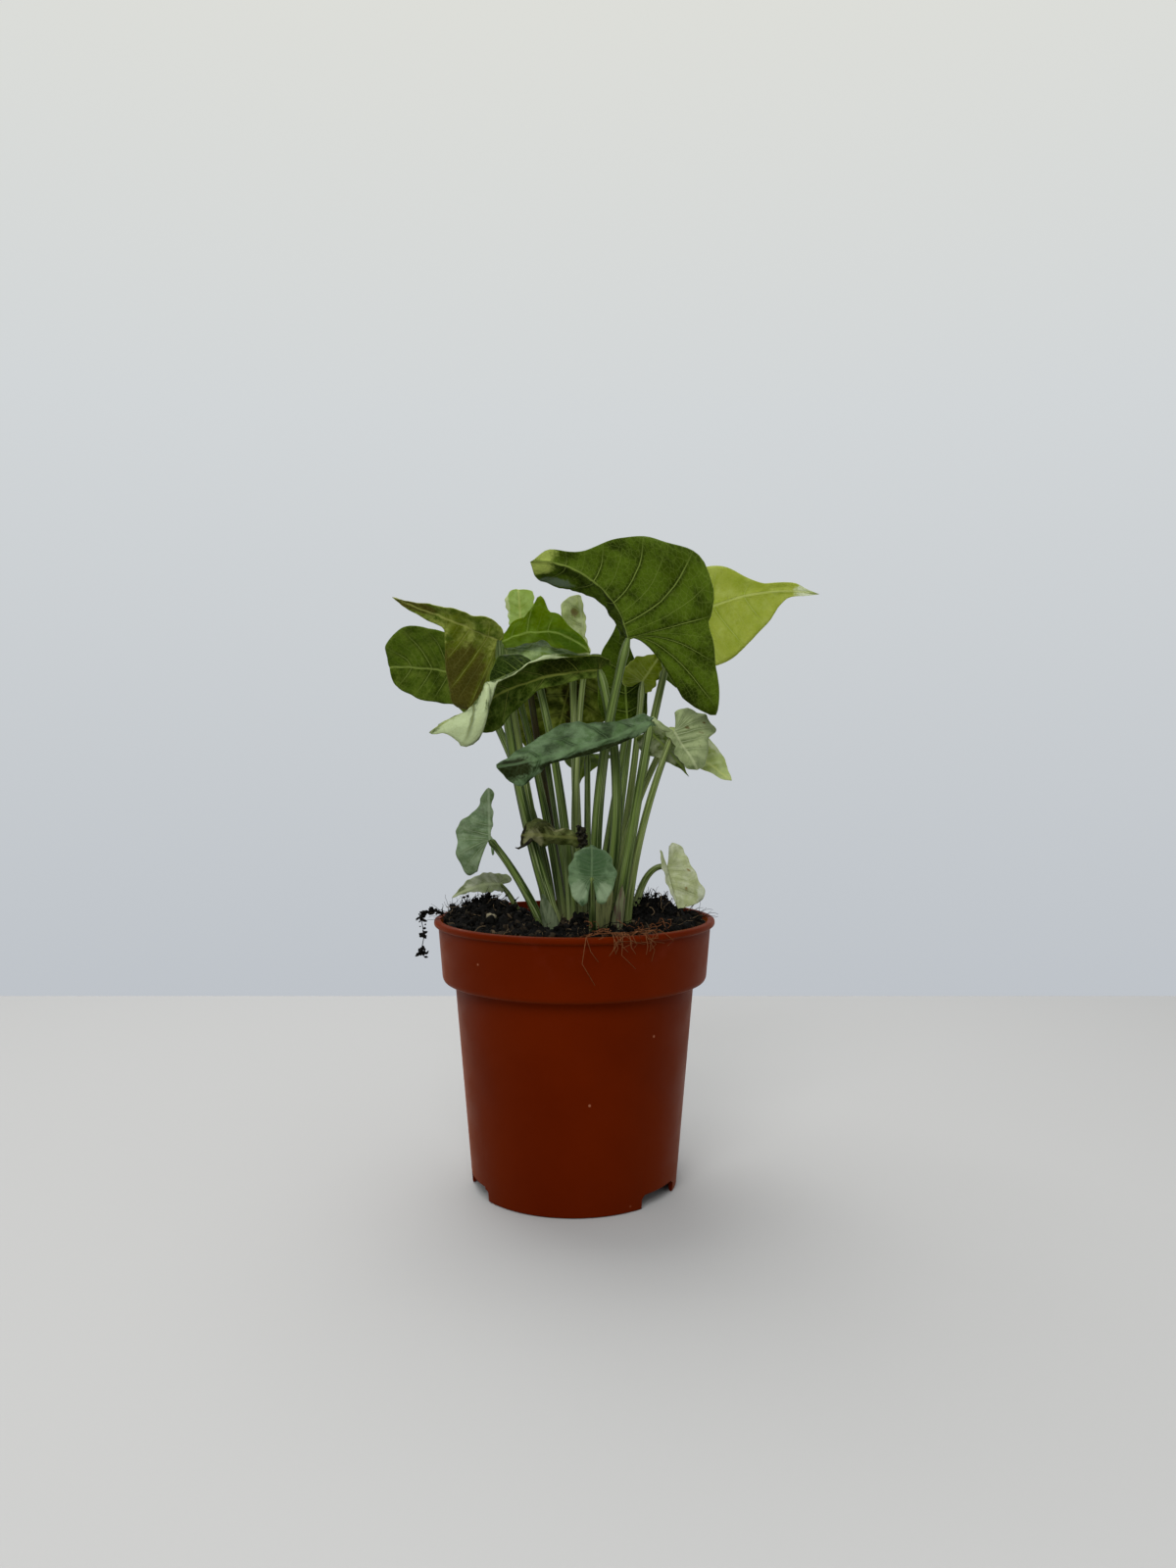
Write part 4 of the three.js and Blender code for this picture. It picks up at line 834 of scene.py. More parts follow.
                (0, 0.4), (-0.06, 0.28), (-0.1, 0.16)]),
    dict(name="back_left", joint=(-17, 53, 197), tip=(-46.5, 86, 194), face=(-0.2, 0.3, 0.9),
         foot=(-1, 12.5), lean=(-1, 2, 0), girth=1.5,
         tint="deep", arch=60,
         left=heart(0.48, 0.3),
         right=heart(0.48, 0.3)),
    dict(name="back_right", joint=(25.5, 46, 202), tip=(46, 86, 196), face=(0.1, 0.4, 0.9),
         foot=(10.5, 12), lean=(1, 2, 0), girth=1.5,
         tint="deep", arch=65,
         left=heart(0.48, 0.3),
         right=heart(0.48, 0.3)),
    dict(name="back_low", joint=(5, 43, 165), tip=(1.5, 72, 152), face=(0, 0.5, 0.85),
         foot=(5, 13.5), lean=(0, 2, 0), girth=1.2,
         tint="deep", arch=50,
         left=heart(0.34, 0.25),
         right=heart(0.34, 0.25)),
    dict(name="withered", joint=(4, -22, 133.5), tip=(-19.5, -20.5, 135), face=(0, -1, 0.3),
         tint="dry", arch=30, sweep=1, fold=(-10, -10), curl=(-30, -30), droop=(0, 0),
         wave=(0.02, 2.5, 0),
         left=[(1.02, 0.08), (1, 0.17), (0.92, 0.16), (0.84, 0.12), (0.72, 0.12), (0.6, 0.13),
               (0.4, 0.13), (0.2, 0.12), (0, 0.1), (-0.05, 0.08), (-0.05, 0.03)],
         right=[(1, 0.1), (0.98, 0.2), (0.92, 0.24), (0.86, 0.27), (0.79, 0.33), (0.7, 0.33),
                (0.6, 0.24), (0.48, 0.15), (0.3, 0.13), (0.1, 0.15), (0, 0.14), (-0.05, 0.1),
                (-0.05, 0.04)]),
]
MIDRIB_STEPS = 60
SMOOTH_STEPS = 24                # between two points of an outline
TIP_RIBS = 40
LOBE_RIBS = 24
VEIN_EVERY = 8                   # mesh ribs from one side vein to the next
ROW_SHARES = np.array([0, 0.03, 0.07, 0.12, 0.19, 0.27, 0.36, 0.46, 0.56, 0.66, 0.76, 0.85, 0.93, 1.0])
PROFILE_STEPS = 48
HOOKED = (0.62, 1)               # where along the midrib the hook bends, and where the twist turns
TWISTED = (0.55, 0.9)
ROLLED = (0.55, 1)               # and where across a half its rim rolls
RIPPLES = ((9, 16), (18, 30), (34, 60))      # how many radians of each ripple run along a ragged margin
BLADE = 0.42                     # thickness of the tissue between the veins
RIM = 0.26                       # and at the margin
QUILT = 0.6                      # how deep the side veins are sunk on a leaf of full size
RIDGE = 0.5                      # how far the midrib stands out below, as a share of the stalk's radius
FULL_SIZE = 45                   # shorter leaves have lower relief
SHORTEST_LOBE = 0.05
MIDRIB_START = -0.02             # how far forward a point has to be to lie beside the midrib
NO_MIDRIB = 9.0                  # stands for the midrib's distance in the lobes, where there is none


def smoothstep(value, low, high):
    share = np.clip((value - low) / (high - low), 0, 1)
    return share * share * (3 - 2 * share)


def bent_frame(pitch, yaw):
    """The forward and the upward direction at those bending angles."""
    forward = np.stack([np.cos(pitch) * np.cos(yaw), np.cos(pitch) * np.sin(yaw), -np.sin(pitch)], -1)
    upward = np.stack([np.sin(pitch) * np.cos(yaw), np.sin(pitch) * np.sin(yaw), np.cos(pitch)], -1)
    return forward, upward


def midrib_of(leaf):
    """The midrib of a leaf one unit long: its centre and its two bending angles at even steps."""
    t = np.linspace(0, 1, MIDRIB_STEPS + 1)
    pitch = np.radians(leaf["arch"] * t + leaf["hook"] * smoothstep(t, *HOOKED))
    yaw = np.radians(leaf["sway"] * t)
    forward, _ = bent_frame(pitch, yaw)
    centre = np.vstack([[0, 0, 0], np.cumsum(forward[:-1], 0) / MIDRIB_STEPS])
    return t, centre, pitch, yaw


def spine_at(x, leaf, midrib, lobe, droop):
    """Centre, upward normal and leftward direction of the spine at each flat x."""
    t, centres, pitches, yaws = midrib
    along = np.clip(x, 0, 1)
    centre = np.stack([np.interp(along, t, centres[:, axis]) for axis in range(3)], -1)
    bend = max(math.radians(droop), 1e-3)
    back = np.clip(-x, 0, None) / lobe
    behind = x < 0
    bent = np.stack([-lobe * np.sin(bend * back) / bend, 0 * back,
                     -lobe * (1 - np.cos(bend * back)) / bend], -1)
    centre[behind] = bent[behind]
    pitch = np.where(behind, -bend * back, np.interp(along, t, pitches))
    yaw = np.where(behind, 0, np.interp(along, t, yaws))
    forward, normal = bent_frame(pitch, yaw)
    leftward = np.cross(normal, forward)
    turn = np.radians(leaf["twist"]) * smoothstep(x, *TWISTED)
    cos, sin = np.cos(turn)[:, None], np.sin(turn)[:, None]
    return centre, normal * cos - leftward * sin, leftward * cos + normal * sin


def even_points(points, count):
    """Even points along the smooth line through the given ones."""
    knots = np.vstack([2 * points[0] - points[1], points, 2 * points[-1] - points[-2]])
    t = np.linspace(0, 1, SMOOTH_STEPS, endpoint=False)[:, None]
    dense = []
    for before, start, end, after in zip(knots, knots[1:], knots[2:], knots[3:]):
        square = 2 * before - 5 * start + 4 * end - after
        dense.append(0.5 * (2 * start + (end - before) * t + square * t ** 2
                            + (-before + 3 * start - 3 * end + after) * t ** 3))
    dense = np.vstack([*dense, points[-1:]])
    length = np.concatenate([[0], np.cumsum(np.linalg.norm(np.diff(dense, axis=0), axis=1))])
    at = np.linspace(0, length[-1], count + 1)
    return np.stack([np.interp(at, length, dense[:, axis]) for axis in (0, 1)], -1)


def ribs_of(outline):
    """One half's ribs: where each leaves the midrib and where it meets the margin."""
    points = np.array([(1, 0), *outline], float)
    turn = int(np.argmax(points[:, 0] <= 0))
    margin = np.vstack([even_points(points[:turn + 1], TIP_RIBS), even_points(points[turn:], LOBE_RIBS)[1:]])
    starts = np.zeros(len(margin))
    starts[:TIP_RIBS] = (1 - np.arange(TIP_RIBS) / TIP_RIBS) ** 1.4
    return starts, margin


def place_of(leaf, midrib):
    """Size of a leaf, and the turn from the frame it is drawn in to the frame of the plant."""
    chord = midrib[1][-1]
    joint, tip = np.array(leaf["joint"], float), np.array(leaf["tip"], float)
    own_forward = chord / np.linalg.norm(chord)
    own_left = np.cross((0, 0, 1), own_forward)
    own_left /= np.linalg.norm(own_left)
    own = np.stack([own_forward, own_left, np.cross(own_forward, own_left)], -1)
    forward = (tip - joint) / np.linalg.norm(tip - joint)
    face = np.array(leaf["face"], float)
    face -= forward * face.dot(forward)
    face /= np.linalg.norm(face)
    placed = np.stack([forward, np.cross(face, forward), face], -1)
    return np.linalg.norm(tip - joint) / np.linalg.norm(chord), placed @ own.T


def profile_of(leaf, side):
    """How far out and how high one half runs at each row's share of its width."""
    steps = (np.arange(PROFILE_STEPS) + 0.5) / PROFILE_STEPS
    slope = np.radians(leaf["fold"][side] + leaf["curl"][side] * steps
                       + leaf["rim"][side] * smoothstep(steps, *ROLLED))
    grid = np.linspace(0, 1, PROFILE_STEPS + 1)
    return [np.interp(ROW_SHARES, grid, np.concatenate([[0], np.cumsum(part)]) / PROFILE_STEPS)
            for part in (np.cos(slope), np.sin(slope))]


def torn(reaches, ragged, seed):
    """How far each rib reaches once three ripples have made the margin ragged."""
    tear = np.random.default_rng(seed)
    share = np.linspace(0, 1, len(reaches))
    uneven = 0
    for span in RIPPLES:
        begun = tear.uniform(0, 6.3)
        uneven = uneven + np.sin(begun + tear.uniform(*span) * share)
    return np.maximum(0.4 * reaches, reaches + ragged * uneven * np.sin(math.pi * share) ** 0.4)


def swells_of(leaf, side, reaches):
    """How high the waved margin stands at each rib."""
    height, count, phase = leaf["wave"]
    share = np.linspace(0, 1, len(reaches))
    ripple = np.sin(2 * math.pi * (count * share + phase + 0.35 * side))
    return height * np.minimum(1, reaches / 0.12) * ripple


def rib_gap(starts, margin, number):
    """The distance from a rib to the next at each row, in fractions of the leaf's length."""
    before, after = max(number - 1, 0), min(number + 1, len(margin) - 1)
    outer = np.linalg.norm(margin[after] - margin[before])
    inner = abs(starts[after] - starts[before])
    return (outer * ROW_SHARES + inner * (1 - ROW_SHARES)) / (after - before)


def vein_distance(number, spacing):
    """Distance in millimetres from a mesh rib to the nearest side vein, and its share of the way between."""
    offset = (number + VEIN_EVERY / 2) % VEIN_EVERY - VEIN_EVERY / 2
    return abs(offset) * spacing, abs(offset) / (VEIN_EVERY / 2)


class Sheet:
    """The middle surface of a blade in millimetres, with what is known at each point: its place on the flat
    leaf, how it is sunk along the side veins, and how far it is from the side veins, the minor veins
    between them, the midrib and the margin."""

    def __init__(self, leaf, ragged):
        self.leaf = {**USUAL, **leaf}
        self.ragged = ragged
        self.midrib = midrib_of(self.leaf)
        self.length, turn = place_of(self.leaf, self.midrib)
        self.numbers = {}
        self.faces = []
        self.known = {label: [] for label in ("place", "flat", "lift", "vein", "minor", "middle", "edge")}
        for side, outline in enumerate((self.leaf["left"], self.leaf["right"])):
            self.join(self.half(side, outline), side)
        self.known = {label: np.array(values) for label, values in self.known.items()}
        self.points = self.known["place"] @ turn.T * self.length + np.array(self.leaf["joint"], float)

    def half(self, side, outline):
        """The points of one half, rib by rib from the tip round to the joint."""
        leaf, length = self.leaf, self.length
        hand = 1 if side == 0 else -1
        starts, margin = ribs_of(outline)
        lobe = max(SHORTEST_LOBE, -margin[:, 0].min())
        out, rise = profile_of(leaf, side)
        reaches = torn(margin[:, 1], self.ragged / length, 7 * len(leaf["name"]) + side)
        swells = swells_of(leaf, side, reaches)
        rows = []
        for number, (start, end_x, reach) in enumerate(zip(starts, margin[:, 0], reaches)):
            x = start + (end_x - start) * ROW_SHARES ** leaf["sweep"]
            centre, normal, leftward = spine_at(x, leaf, self.midrib, lobe, leaf["droop"][side])
            gap = rib_gap(starts, margin, number) * length
            near, between = vein_distance(number, gap)
            plump = (1 - between ** 2) * np.sin(math.pi * np.minimum(1, ROW_SHARES * 1.15) ** 0.8)
            row = {
                "place": (centre + leftward * (hand * out * reach)[:, None]
                          + normal * (rise * reach + swells[number] * ROW_SHARES ** 2)[:, None]),
                "flat": np.stack([x * length, hand * ROW_SHARES * reach * length, ROW_SHARES], -1),
                "lift": -plump * np.minimum(1.0, gap * 0.5),
                "vein": near,
                "minor": abs(VEIN_EVERY / 2 * gap - near),
                "middle": np.where(x >= MIDRIB_START, ROW_SHARES * reach * length, NO_MIDRIB),
                "edge": (1 - ROW_SHARES) * math.hypot(reach, end_x - start) * length,
            }
            rows.append([self.point(side, number, step, row) for step in range(len(ROW_SHARES))])
        return rows

    def point(self, side, number, step, row):
        """The number of a point: a new one, except at the tip and on the midrib, where ribs meet."""
        key = "tip" if number == 0 else min(number, TIP_RIBS) if step == 0 else (side, number, step)
        if key not in self.numbers:
            self.numbers[key] = len(self.numbers)
            for label, values in row.items():
                self.known[label].append(values[step])
        return self.numbers[key]

    def join(self, rows, side):
        """Faces from rib to rib, with three corners where two of four are the same point."""
        for low, high in zip(rows, rows[1:]):
            for step in range(len(ROW_SHARES) - 1):
                ring = [low[step], high[step], high[step + 1], low[step + 1]]
                face = [corner for corner, other in zip(ring, ring[-1:] + ring[:-1]) if corner != other]
                if len(face) >= 3:
                    self.faces.append(face if side == 0 else face[::-1])


def sheet_normals(points, faces):
    normals = np.zeros_like(points)
    for face in faces:
        corner = points[face]
        normals[face] += np.cross(corner[2] - corner[0], corner[-1] - corner[1])
    return normals / np.maximum(np.linalg.norm(normals, axis=1), 1e-12)[:, None]


def closed(upper, lower, faces):
    """The points and faces of a thin body with an upper and a lower face, joined along their open edges."""
    count = len(upper)
    edges = dict.fromkeys((a, b) for face in faces for a, b in zip(face, [*face[1:], face[0]]))
    under = [tuple(corner + count for corner in reversed(face)) for face in faces]
    rim = [(b, a, a + count, b + count) for a, b in edges if (b, a) not in edges]
    return np.vstack([upper, lower]), [*faces, *under, *rim]


def blade_body(name, leaf, crumple):
    """A closed blade: quilted between its side veins, crumpled, with the midrib standing out below."""
    sheet = Sheet(leaf, ragged=0.08 + 0.5 * crumple)
    known = sheet.known
    normals = sheet_normals(sheet.points, sheet.faces)
    scale = min(1.0, sheet.length / FULL_SIZE)
    x, y = known["flat"][:, 0], known["flat"][:, 1]
    seed = len(leaf["name"]) + int(sheet.length * 7)
    dents = (waves(x, y, count=9, shortest=9, longest=20, seed=seed)
             + 0.45 * waves(x, y, count=10, shortest=4, longest=8, seed=seed + 1)
             + 0.2 * waves(x, y, count=10, shortest=2, longest=4, seed=seed + 2))
    dents *= crumple * smoothstep(np.hypot(x, y), 1, 6)
    surface = sheet.points + normals * (QUILT * scale * known["lift"] + dents)[:, None]
    tissue = RIM + (BLADE - RIM) * smoothstep(known["edge"], 0.1, 1.2)
    taper = np.clip(1 - x / sheet.length, 0, 1) ** 0.7
    raised = np.exp(-(known["middle"] / (0.55 + 0.5 * taper)) ** 2)
    midrib = RIDGE * scale * sheet.leaf["girth"] * taper * raised
    side_veins = 0.16 * scale * np.exp(-(known["vein"] / 0.35) ** 2) * smoothstep(known["edge"], 0, 4)
    upper = surface + normals * (tissue / 2)[:, None]
    lower = surface - normals * (tissue / 2 + midrib + side_veins)[:, None]
    made = mesh_object(name, *closed(upper, lower, sheet.faces))
    for label in ("vein", "minor", "middle", "edge"):
        told(made, label, np.tile(known[label], 2))
    told(made, "under", np.repeat([0.0, 1.0], len(upper)))
    flat = made.data.attributes.new("flat", "FLOAT_VECTOR", "POINT")
    flat.data.foreach_set("vector", np.tile(known["flat"], (2, 1)).astype(np.float32).ravel())
    return made, sheet


def patched(made, sheet, label, patches):
    """Marks soft oval patches, each (x, y, half length, half width) in fractions of the leaf's length."""
    x, y, _ = sheet.known["flat"].T / sheet.length
    level = np.zeros(len(sheet.points))
    for patch_x, patch_y, half_length, half_width in patches:
        away = np.hypot((x - patch_x) / half_length, (y - patch_y) / half_width)
        level = np.maximum(level, np.clip(1.5 - away, 0, 1))
    told(made, label, np.tile(level, 2))


TISSUE_COLOURS = ("Upper", "Lower", "Mottle", "Glow", "Vein", "Stain_and_shade", "Faded_and_highlit")
TISSUE_AMOUNTS = ("Mottling", "Glowing", "Veining", "Speckling")


def tissue_colour(group, flat, given):
    """The colour between the veins: two faces, clouds, light places, freckles, and darker and paler patches.
    """
    both_faces = mixed(group, reading(group, "under"), given["Upper"], given["Lower"])
    cloud = ranged(group, noise(group, flat, 0.09, 5.0, 0.6), 0.42, 0.68)
    patchy = mixed(group, times(group, cloud, given["Mottling"]), both_faces, given["Mottle"])
    bright = ranged(group, noise(group, flat, 0.13, 6.0, 0.65), 0.5, 0.66)
    sunny = mixed(group, times(group, bright, given["Glowing"]), patchy, given["Glow"])
    halo = times(group, ranged(group, reading(group, "vein"), 0.8, 4.5, 0.6, 0.0),
                 ranged(group, noise(group, flat, 0.3, 3.0), 0.35, 0.6))
    sunny = mixed(group, times(group, halo, given["Glowing"]), sunny, given["Glow"])
    freckle = ranged(group, noise(group, flat, 0.8, 5.0, 0.7), 0.48, 0.72)
    darker = node(group, "ShaderNodeHueSaturation")
    darker.inputs["Value"].default_value = 0.62
    group.links.new(sunny, darker.inputs["Color"])
    tissue = mixed(group, times(group, freckle, given["Speckling"]), sunny, darker.outputs["Color"])
    uneven = times(group, noise(group, flat, 0.3, 6.0, 0.75), 1.5)
    # The darker patches are stains on some leaves and painted shade on others.
    # The paler patches are fading on some leaves and painted highlight on others.
    for label, tint in (("stain_and_shade", given["Stain_and_shade"]), ("faded_and_highlit", given["Faded_and_highlit"])):
        patch = ranged(group, calculated(group, "ADD", reading(group, label), uneven), 1.05, 1.5)
        tissue = mixed(group, patch, tissue, tint)
    return tissue


def vein_masks(group, flat):
    """Where all the veins are, with the fine net between them, and painted shade beside the side veins."""
    net = node(group, "ShaderNodeTexVoronoi", feature="DISTANCE_TO_EDGE")
    net.inputs["Scale"].default_value = 0.62
    group.links.new(flat, net.inputs["Vector"])
    fine = ranged(group, net.outputs["Distance"], 0.0, 0.1, 1.0, 0.0)
    side = ranged(group, reading(group, "vein"), 0.06, 0.3, 1.0, 0.0)
    minor = ranged(group, reading(group, "minor"), 0.04, 0.2, 0.5, 0.0)
    main = ranged(group, reading(group, "middle"), 0.2, 0.7, 1.0, 0.0)
    inside = ranged(group, reading(group, "edge"), 0.3, 9.0, 0.2, 1.0)
    sides = times(group, calculated(group, "MAXIMUM", side, minor), inside)
    veins = calculated(group, "MAXIMUM", sides, main)
    # Painted shade: a darker band beside each side vein, where the quilted tissue dips into its groove.
    painted_groove_shade = times(group, ranged(group, reading(group, "vein"), 0.3, 1.6, 0.65, 0.0), inside)
    return calculated(group, "MAXIMUM", times(group, fine, 0.22), veins), painted_groove_shade


def tissue_group():
    """Leaf tissue with its veins, a hem along the margin and a height for its relief."""
    group = bpy.data.node_groups.new("leaf_tissue", "ShaderNodeTree")
    for label in TISSUE_COLOURS:
        group.interface.new_socket(label, in_out="INPUT", socket_type="NodeSocketColor")
    for label in TISSUE_AMOUNTS:
        group.interface.new_socket(label, in_out="INPUT", socket_type="NodeSocketFloat")
    group.interface.new_socket("Color", in_out="OUTPUT", socket_type="NodeSocketColor")
    group.interface.new_socket("Height", in_out="OUTPUT", socket_type="NodeSocketFloat")
    given = node(group, "NodeGroupInput").outputs
    out = node(group, "NodeGroupOutput").inputs
    flat = reading(group, "flat", "Vector")
    netted, painted_groove_shade = vein_masks(group, flat)
    # The tissue is darkened toward the mottle colour in those bands: painted shade.
    shaded = mixed(group, painted_groove_shade, tissue_colour(group, flat, given), given["Mottle"])
    veined = mixed(group, times(group, netted, given["Veining"]), shaded, given["Vein"])
    hem = ranged(group, reading(group, "edge"), 0.0, 0.3, 0.4, 0.0)
    pits = times(group, noise(group, flat, 1.6, 4.0, 0.6), 0.8)
    link_all(group, (mixed(group, hem, veined, given["Vein"]), out["Color"]),
             (calculated(group, "SUBTRACT", pits, times(group, netted, 0.8)), out["Height"]))
    return group


LEAF_TISSUE = tissue_group()


def leaf_finish(name, look):
    """Satin leaf skin that lets some light through."""
    material, tree = new_material(name)
    tissue = node(tree, "ShaderNodeGroup", node_tree=LEAF_TISSUE)
    for label in TISSUE_COLOURS:
        tissue.inputs[label].default_value = colour(*look[label.lower()])
    for label in TISSUE_AMOUNTS:
        tissue.inputs[label].default_value = look[label.lower()]
    skin = principled(tree, tissue.outputs["Color"], Roughness=look["roughness"],
                      Specular_IOR_Level=look["sheen"], Specular_Tint=colour(236, 255, 170))
    bumped(tree, tissue.outputs["Height"], 0.55, 0.0006, skin.inputs["Normal"])
    through = node(tree, "ShaderNodeBsdfTranslucent")
    through.inputs["Color"].default_value = colour(*look["through"])
    both = node(tree, "ShaderNodeMixShader")
    both.inputs["Fac"].default_value = look["thin"]
    link_all(tree, (skin.outputs["BSDF"], both.inputs[1]), (through.outputs["BSDF"], both.inputs[2]))
    finished(tree, both.outputs["Shader"])
    return material


LOOKS = {
    "deep": dict(upper=(72, 92, 18), lower=(64, 84, 8), mottle=(36, 54, 2), glow=(92, 114, 20),
                 vein=(126, 146, 64), stain_and_shade=(86, 74, 34), faded_and_highlit=(176, 188, 140), through=(110, 140, 6),
                 mottling=0.85, glowing=0.7, veining=0.65, speckling=0.5, roughness=0.45, sheen=0.05,
                 thin=0.2),
    # The lit look's brighter colours are painted light, for leaves that the light from behind shines through.
    "lit": dict(upper=(166, 174, 76), lower=(170, 178, 84), mottle=(124, 140, 38), glow=(190, 198, 112),
                vein=(200, 206, 132), stain_and_shade=(96, 82, 34), faded_and_highlit=(206, 212, 176), through=(206, 220, 60),
                mottling=0.65, glowing=0.55, veining=0.55, speckling=0.35, roughness=0.45, sheen=0.05,
                thin=0.35),
    "bluish": dict(upper=(84, 106, 72), lower=(96, 118, 84), mottle=(48, 70, 36), glow=(108, 132, 98),
                   vein=(124, 146, 106), stain_and_shade=(48, 30, 22), faded_and_highlit=(150, 166, 136), through=(100, 140, 40),
                   mottling=0.85, glowing=0.7, veining=0.5, speckling=0.55, roughness=0.5, sheen=0.08,
                   thin=0.15),
    "pale": dict(upper=(146, 158, 114), lower=(152, 164, 118), mottle=(100, 116, 70), glow=(176, 184, 144),
                 vein=(182, 190, 146), stain_and_shade=(98, 74, 48), faded_and_highlit=(196, 202, 176), through=(170, 186, 100),
                 mottling=0.85, glowing=0.7, veining=0.5, speckling=0.6, roughness=0.55, sheen=0.08,
                 thin=0.22),
    "dry": dict(upper=(58, 72, 24), lower=(48, 58, 18), mottle=(22, 24, 4), glow=(106, 112, 66),
                vein=(112, 114, 62), stain_and_shade=(20, 16, 8), faded_and_highlit=(120, 120, 84), through=(110, 112, 30),
                mottling=0.95, glowing=0.8, veining=0.35, speckling=0.8, roughness=0.7, sheen=0.05,
                thin=0.1),
}
# What differs from its tint on a single leaf.
OWN_LOOKS = {
    "top": dict(lower=(28, 41, 0), mottle=(13, 22, 0), glow=(47, 62, 0), vein=(118, 134, 60),
                stain_and_shade=(90, 104, 84), faded_and_highlit=(156, 170, 82), through=(56, 78, 0), thin=0.06, glowing=0.5,
                veining=0.85, speckling=0.6),
    "right": dict(mottle=(136, 150, 44), faded_and_highlit=(222, 226, 204)),
    "left": dict(lower=(160, 172, 50), mottle=(100, 110, 20), glow=(176, 186, 90), vein=(158, 162, 84),
                 stain_and_shade=(76, 70, 22)),
    "far_left": dict(lower=(70, 86, 14), mottle=(40, 54, 2), glow=(98, 114, 38), vein=(126, 142, 66),
                     mottling=1.0, veining=0.85),
    "middle": dict(upper=(66, 88, 0), lower=(66, 88, 0), mottle=(40, 64, 0), glow=(98, 124, 44),
                   vein=(138, 158, 78), stain_and_shade=(50, 76, 14), sheen=0.0),
    "tucked": dict(upper=(146, 166, 84), mottle=(100, 122, 42), glow=(164, 184, 124)),
    "small_upright": dict(upper=(152, 178, 100), lower=(152, 178, 100), mottle=(112, 140, 60),
                          glow=(176, 200, 132)),
    "pale_upright": dict(upper=(208, 222, 148), lower=(208, 222, 148), mottle=(106, 122, 50),
                         glow=(198, 208, 158), stain_and_shade=(108, 96, 58)),
    "arching": dict(upper=(44, 62, 6), lower=(44, 60, 4), mottle=(18, 32, 0), glow=(98, 116, 46),
                    vein=(124, 132, 58), stain_and_shade=(28, 36, 2), faded_and_highlit=(156, 168, 126), thin=0.07),
    "front": dict(upper=(38, 58, 22), mottle=(11, 25, 4), glow=(64, 90, 50), vein=(88, 112, 76),
                  stain_and_shade=(20, 26, 6), sheen=0.1, thin=0.05),
    "mottled": dict(upper=(110, 126, 80), mottle=(58, 76, 36), glow=(140, 152, 106), stain_and_shade=(88, 66, 38)),
    "right_low": dict(upper=(170, 184, 118), lower=(170, 184, 118), mottle=(92, 108, 40),
                      glow=(206, 214, 178)),
    "right_narrow": dict(upper=(96, 106, 56), mottle=(46, 56, 14), glow=(172, 180, 140)),
    "low_left": dict(upper=(138, 158, 118), mottle=(88, 108, 66), glow=(152, 170, 136),
                     vein=(160, 176, 142)),
    "creeping_left": dict(upper=(134, 142, 104), mottle=(62, 70, 38), glow=(186, 190, 166)),
    "low_front": dict(upper=(78, 102, 70), mottle=(44, 66, 40), glow=(106, 130, 96), stain_and_shade=(60, 84, 54),
                      faded_and_highlit=(130, 148, 116), mottling=1.0, veining=0.3),
    "low_right": dict(upper=(200, 206, 166), lower=(180, 188, 140), mottle=(152, 160, 110),
                      glow=(216, 220, 192), vein=(168, 176, 126), stain_and_shade=(140, 116, 76)),
    "inner": dict(upper=(66, 80, 8), lower=(66, 80, 8), mottle=(20, 30, 0), glow=(124, 134, 56),
                  vein=(112, 118, 50), stain_and_shade=(26, 14, 4), thin=0.05, mottling=1.0, glowing=0.9),
    # inner_low: near-black colours, painted shade deep inside the plant.
    "inner_low": dict(upper=(16, 29, 0), mottle=(6, 16, 0), glow=(30, 44, 6), thin=0.04),
    "inner_right": dict(upper=(78, 92, 8), lower=(78, 92, 8), mottle=(44, 58, 4), glow=(150, 160, 80),
                        stain_and_shade=(30, 46, 6)),
    # inner_left: near-black colours, painted shade deep inside the plant.
    "inner_left": dict(upper=(15, 30, 0), lower=(15, 30, 0), mottle=(8, 22, 0), glow=(40, 58, 10),
                       thin=0.04),
}
# Oval patches on single leaves: x, y (positive on the left half), half length and half width, in fractions
# of the leaf's length.
# Darker patches: brown stains and rot, and painted shade where it is marked below.
STAINED_AND_SHADED = {
    "top": [(0.85, -0.2, 0.2, 0.04)],
    "left": [(0.2, -0.45, 0.24, 0.3), (0.05, -0.7, 0.2, 0.2), (0.82, 0.02, 0.22, 0.06)],
    # middle: a darker patch below a crease, painted shade.
    "middle": [(0.75, -0.02, 0.28, 0.1)],
    "pale_upright": [(0.72, -0.1, 0.08, 0.07)],
    "arching": [(0.2, 0.04, 0.12, 0.04)],
    # front: near-black marks at the folded tip and along the rolled margin, painted shade.
    "front": [(0.9, 0.02, 0.12, 0.08), (0.75, 0.12, 0.1, 0.03), (0.45, 0.045, 0.4, 0.022)],
    "mottled": [(0.3, 0.5, 0.04, 0.04), (0.05, 0.3, 0.05, 0.04), (0.55, 0.3, 0.03, 0.03),
                (0.1, 0.7, 0.03, 0.03)],
    "low_front": [(0.35, 0, 0.4, 0.3)],
    "low_right": [(0.6, 0.3, 0.05, 0.04), (0.2, 0.45, 0.04, 0.03)],
    "inner": [(0.25, 0.08, 0.14, 0.14), (0.5, 0.1, 0.1, 0.06), (0.3, -0.3, 0.06, 0.1)],
    "inner_right": [(0.75, 0.2, 0.2, 0.3)],
    "withered": [(0.98, 0, 0.05, 0.2), (0.02, 0, 0.06, 0.14)],
}
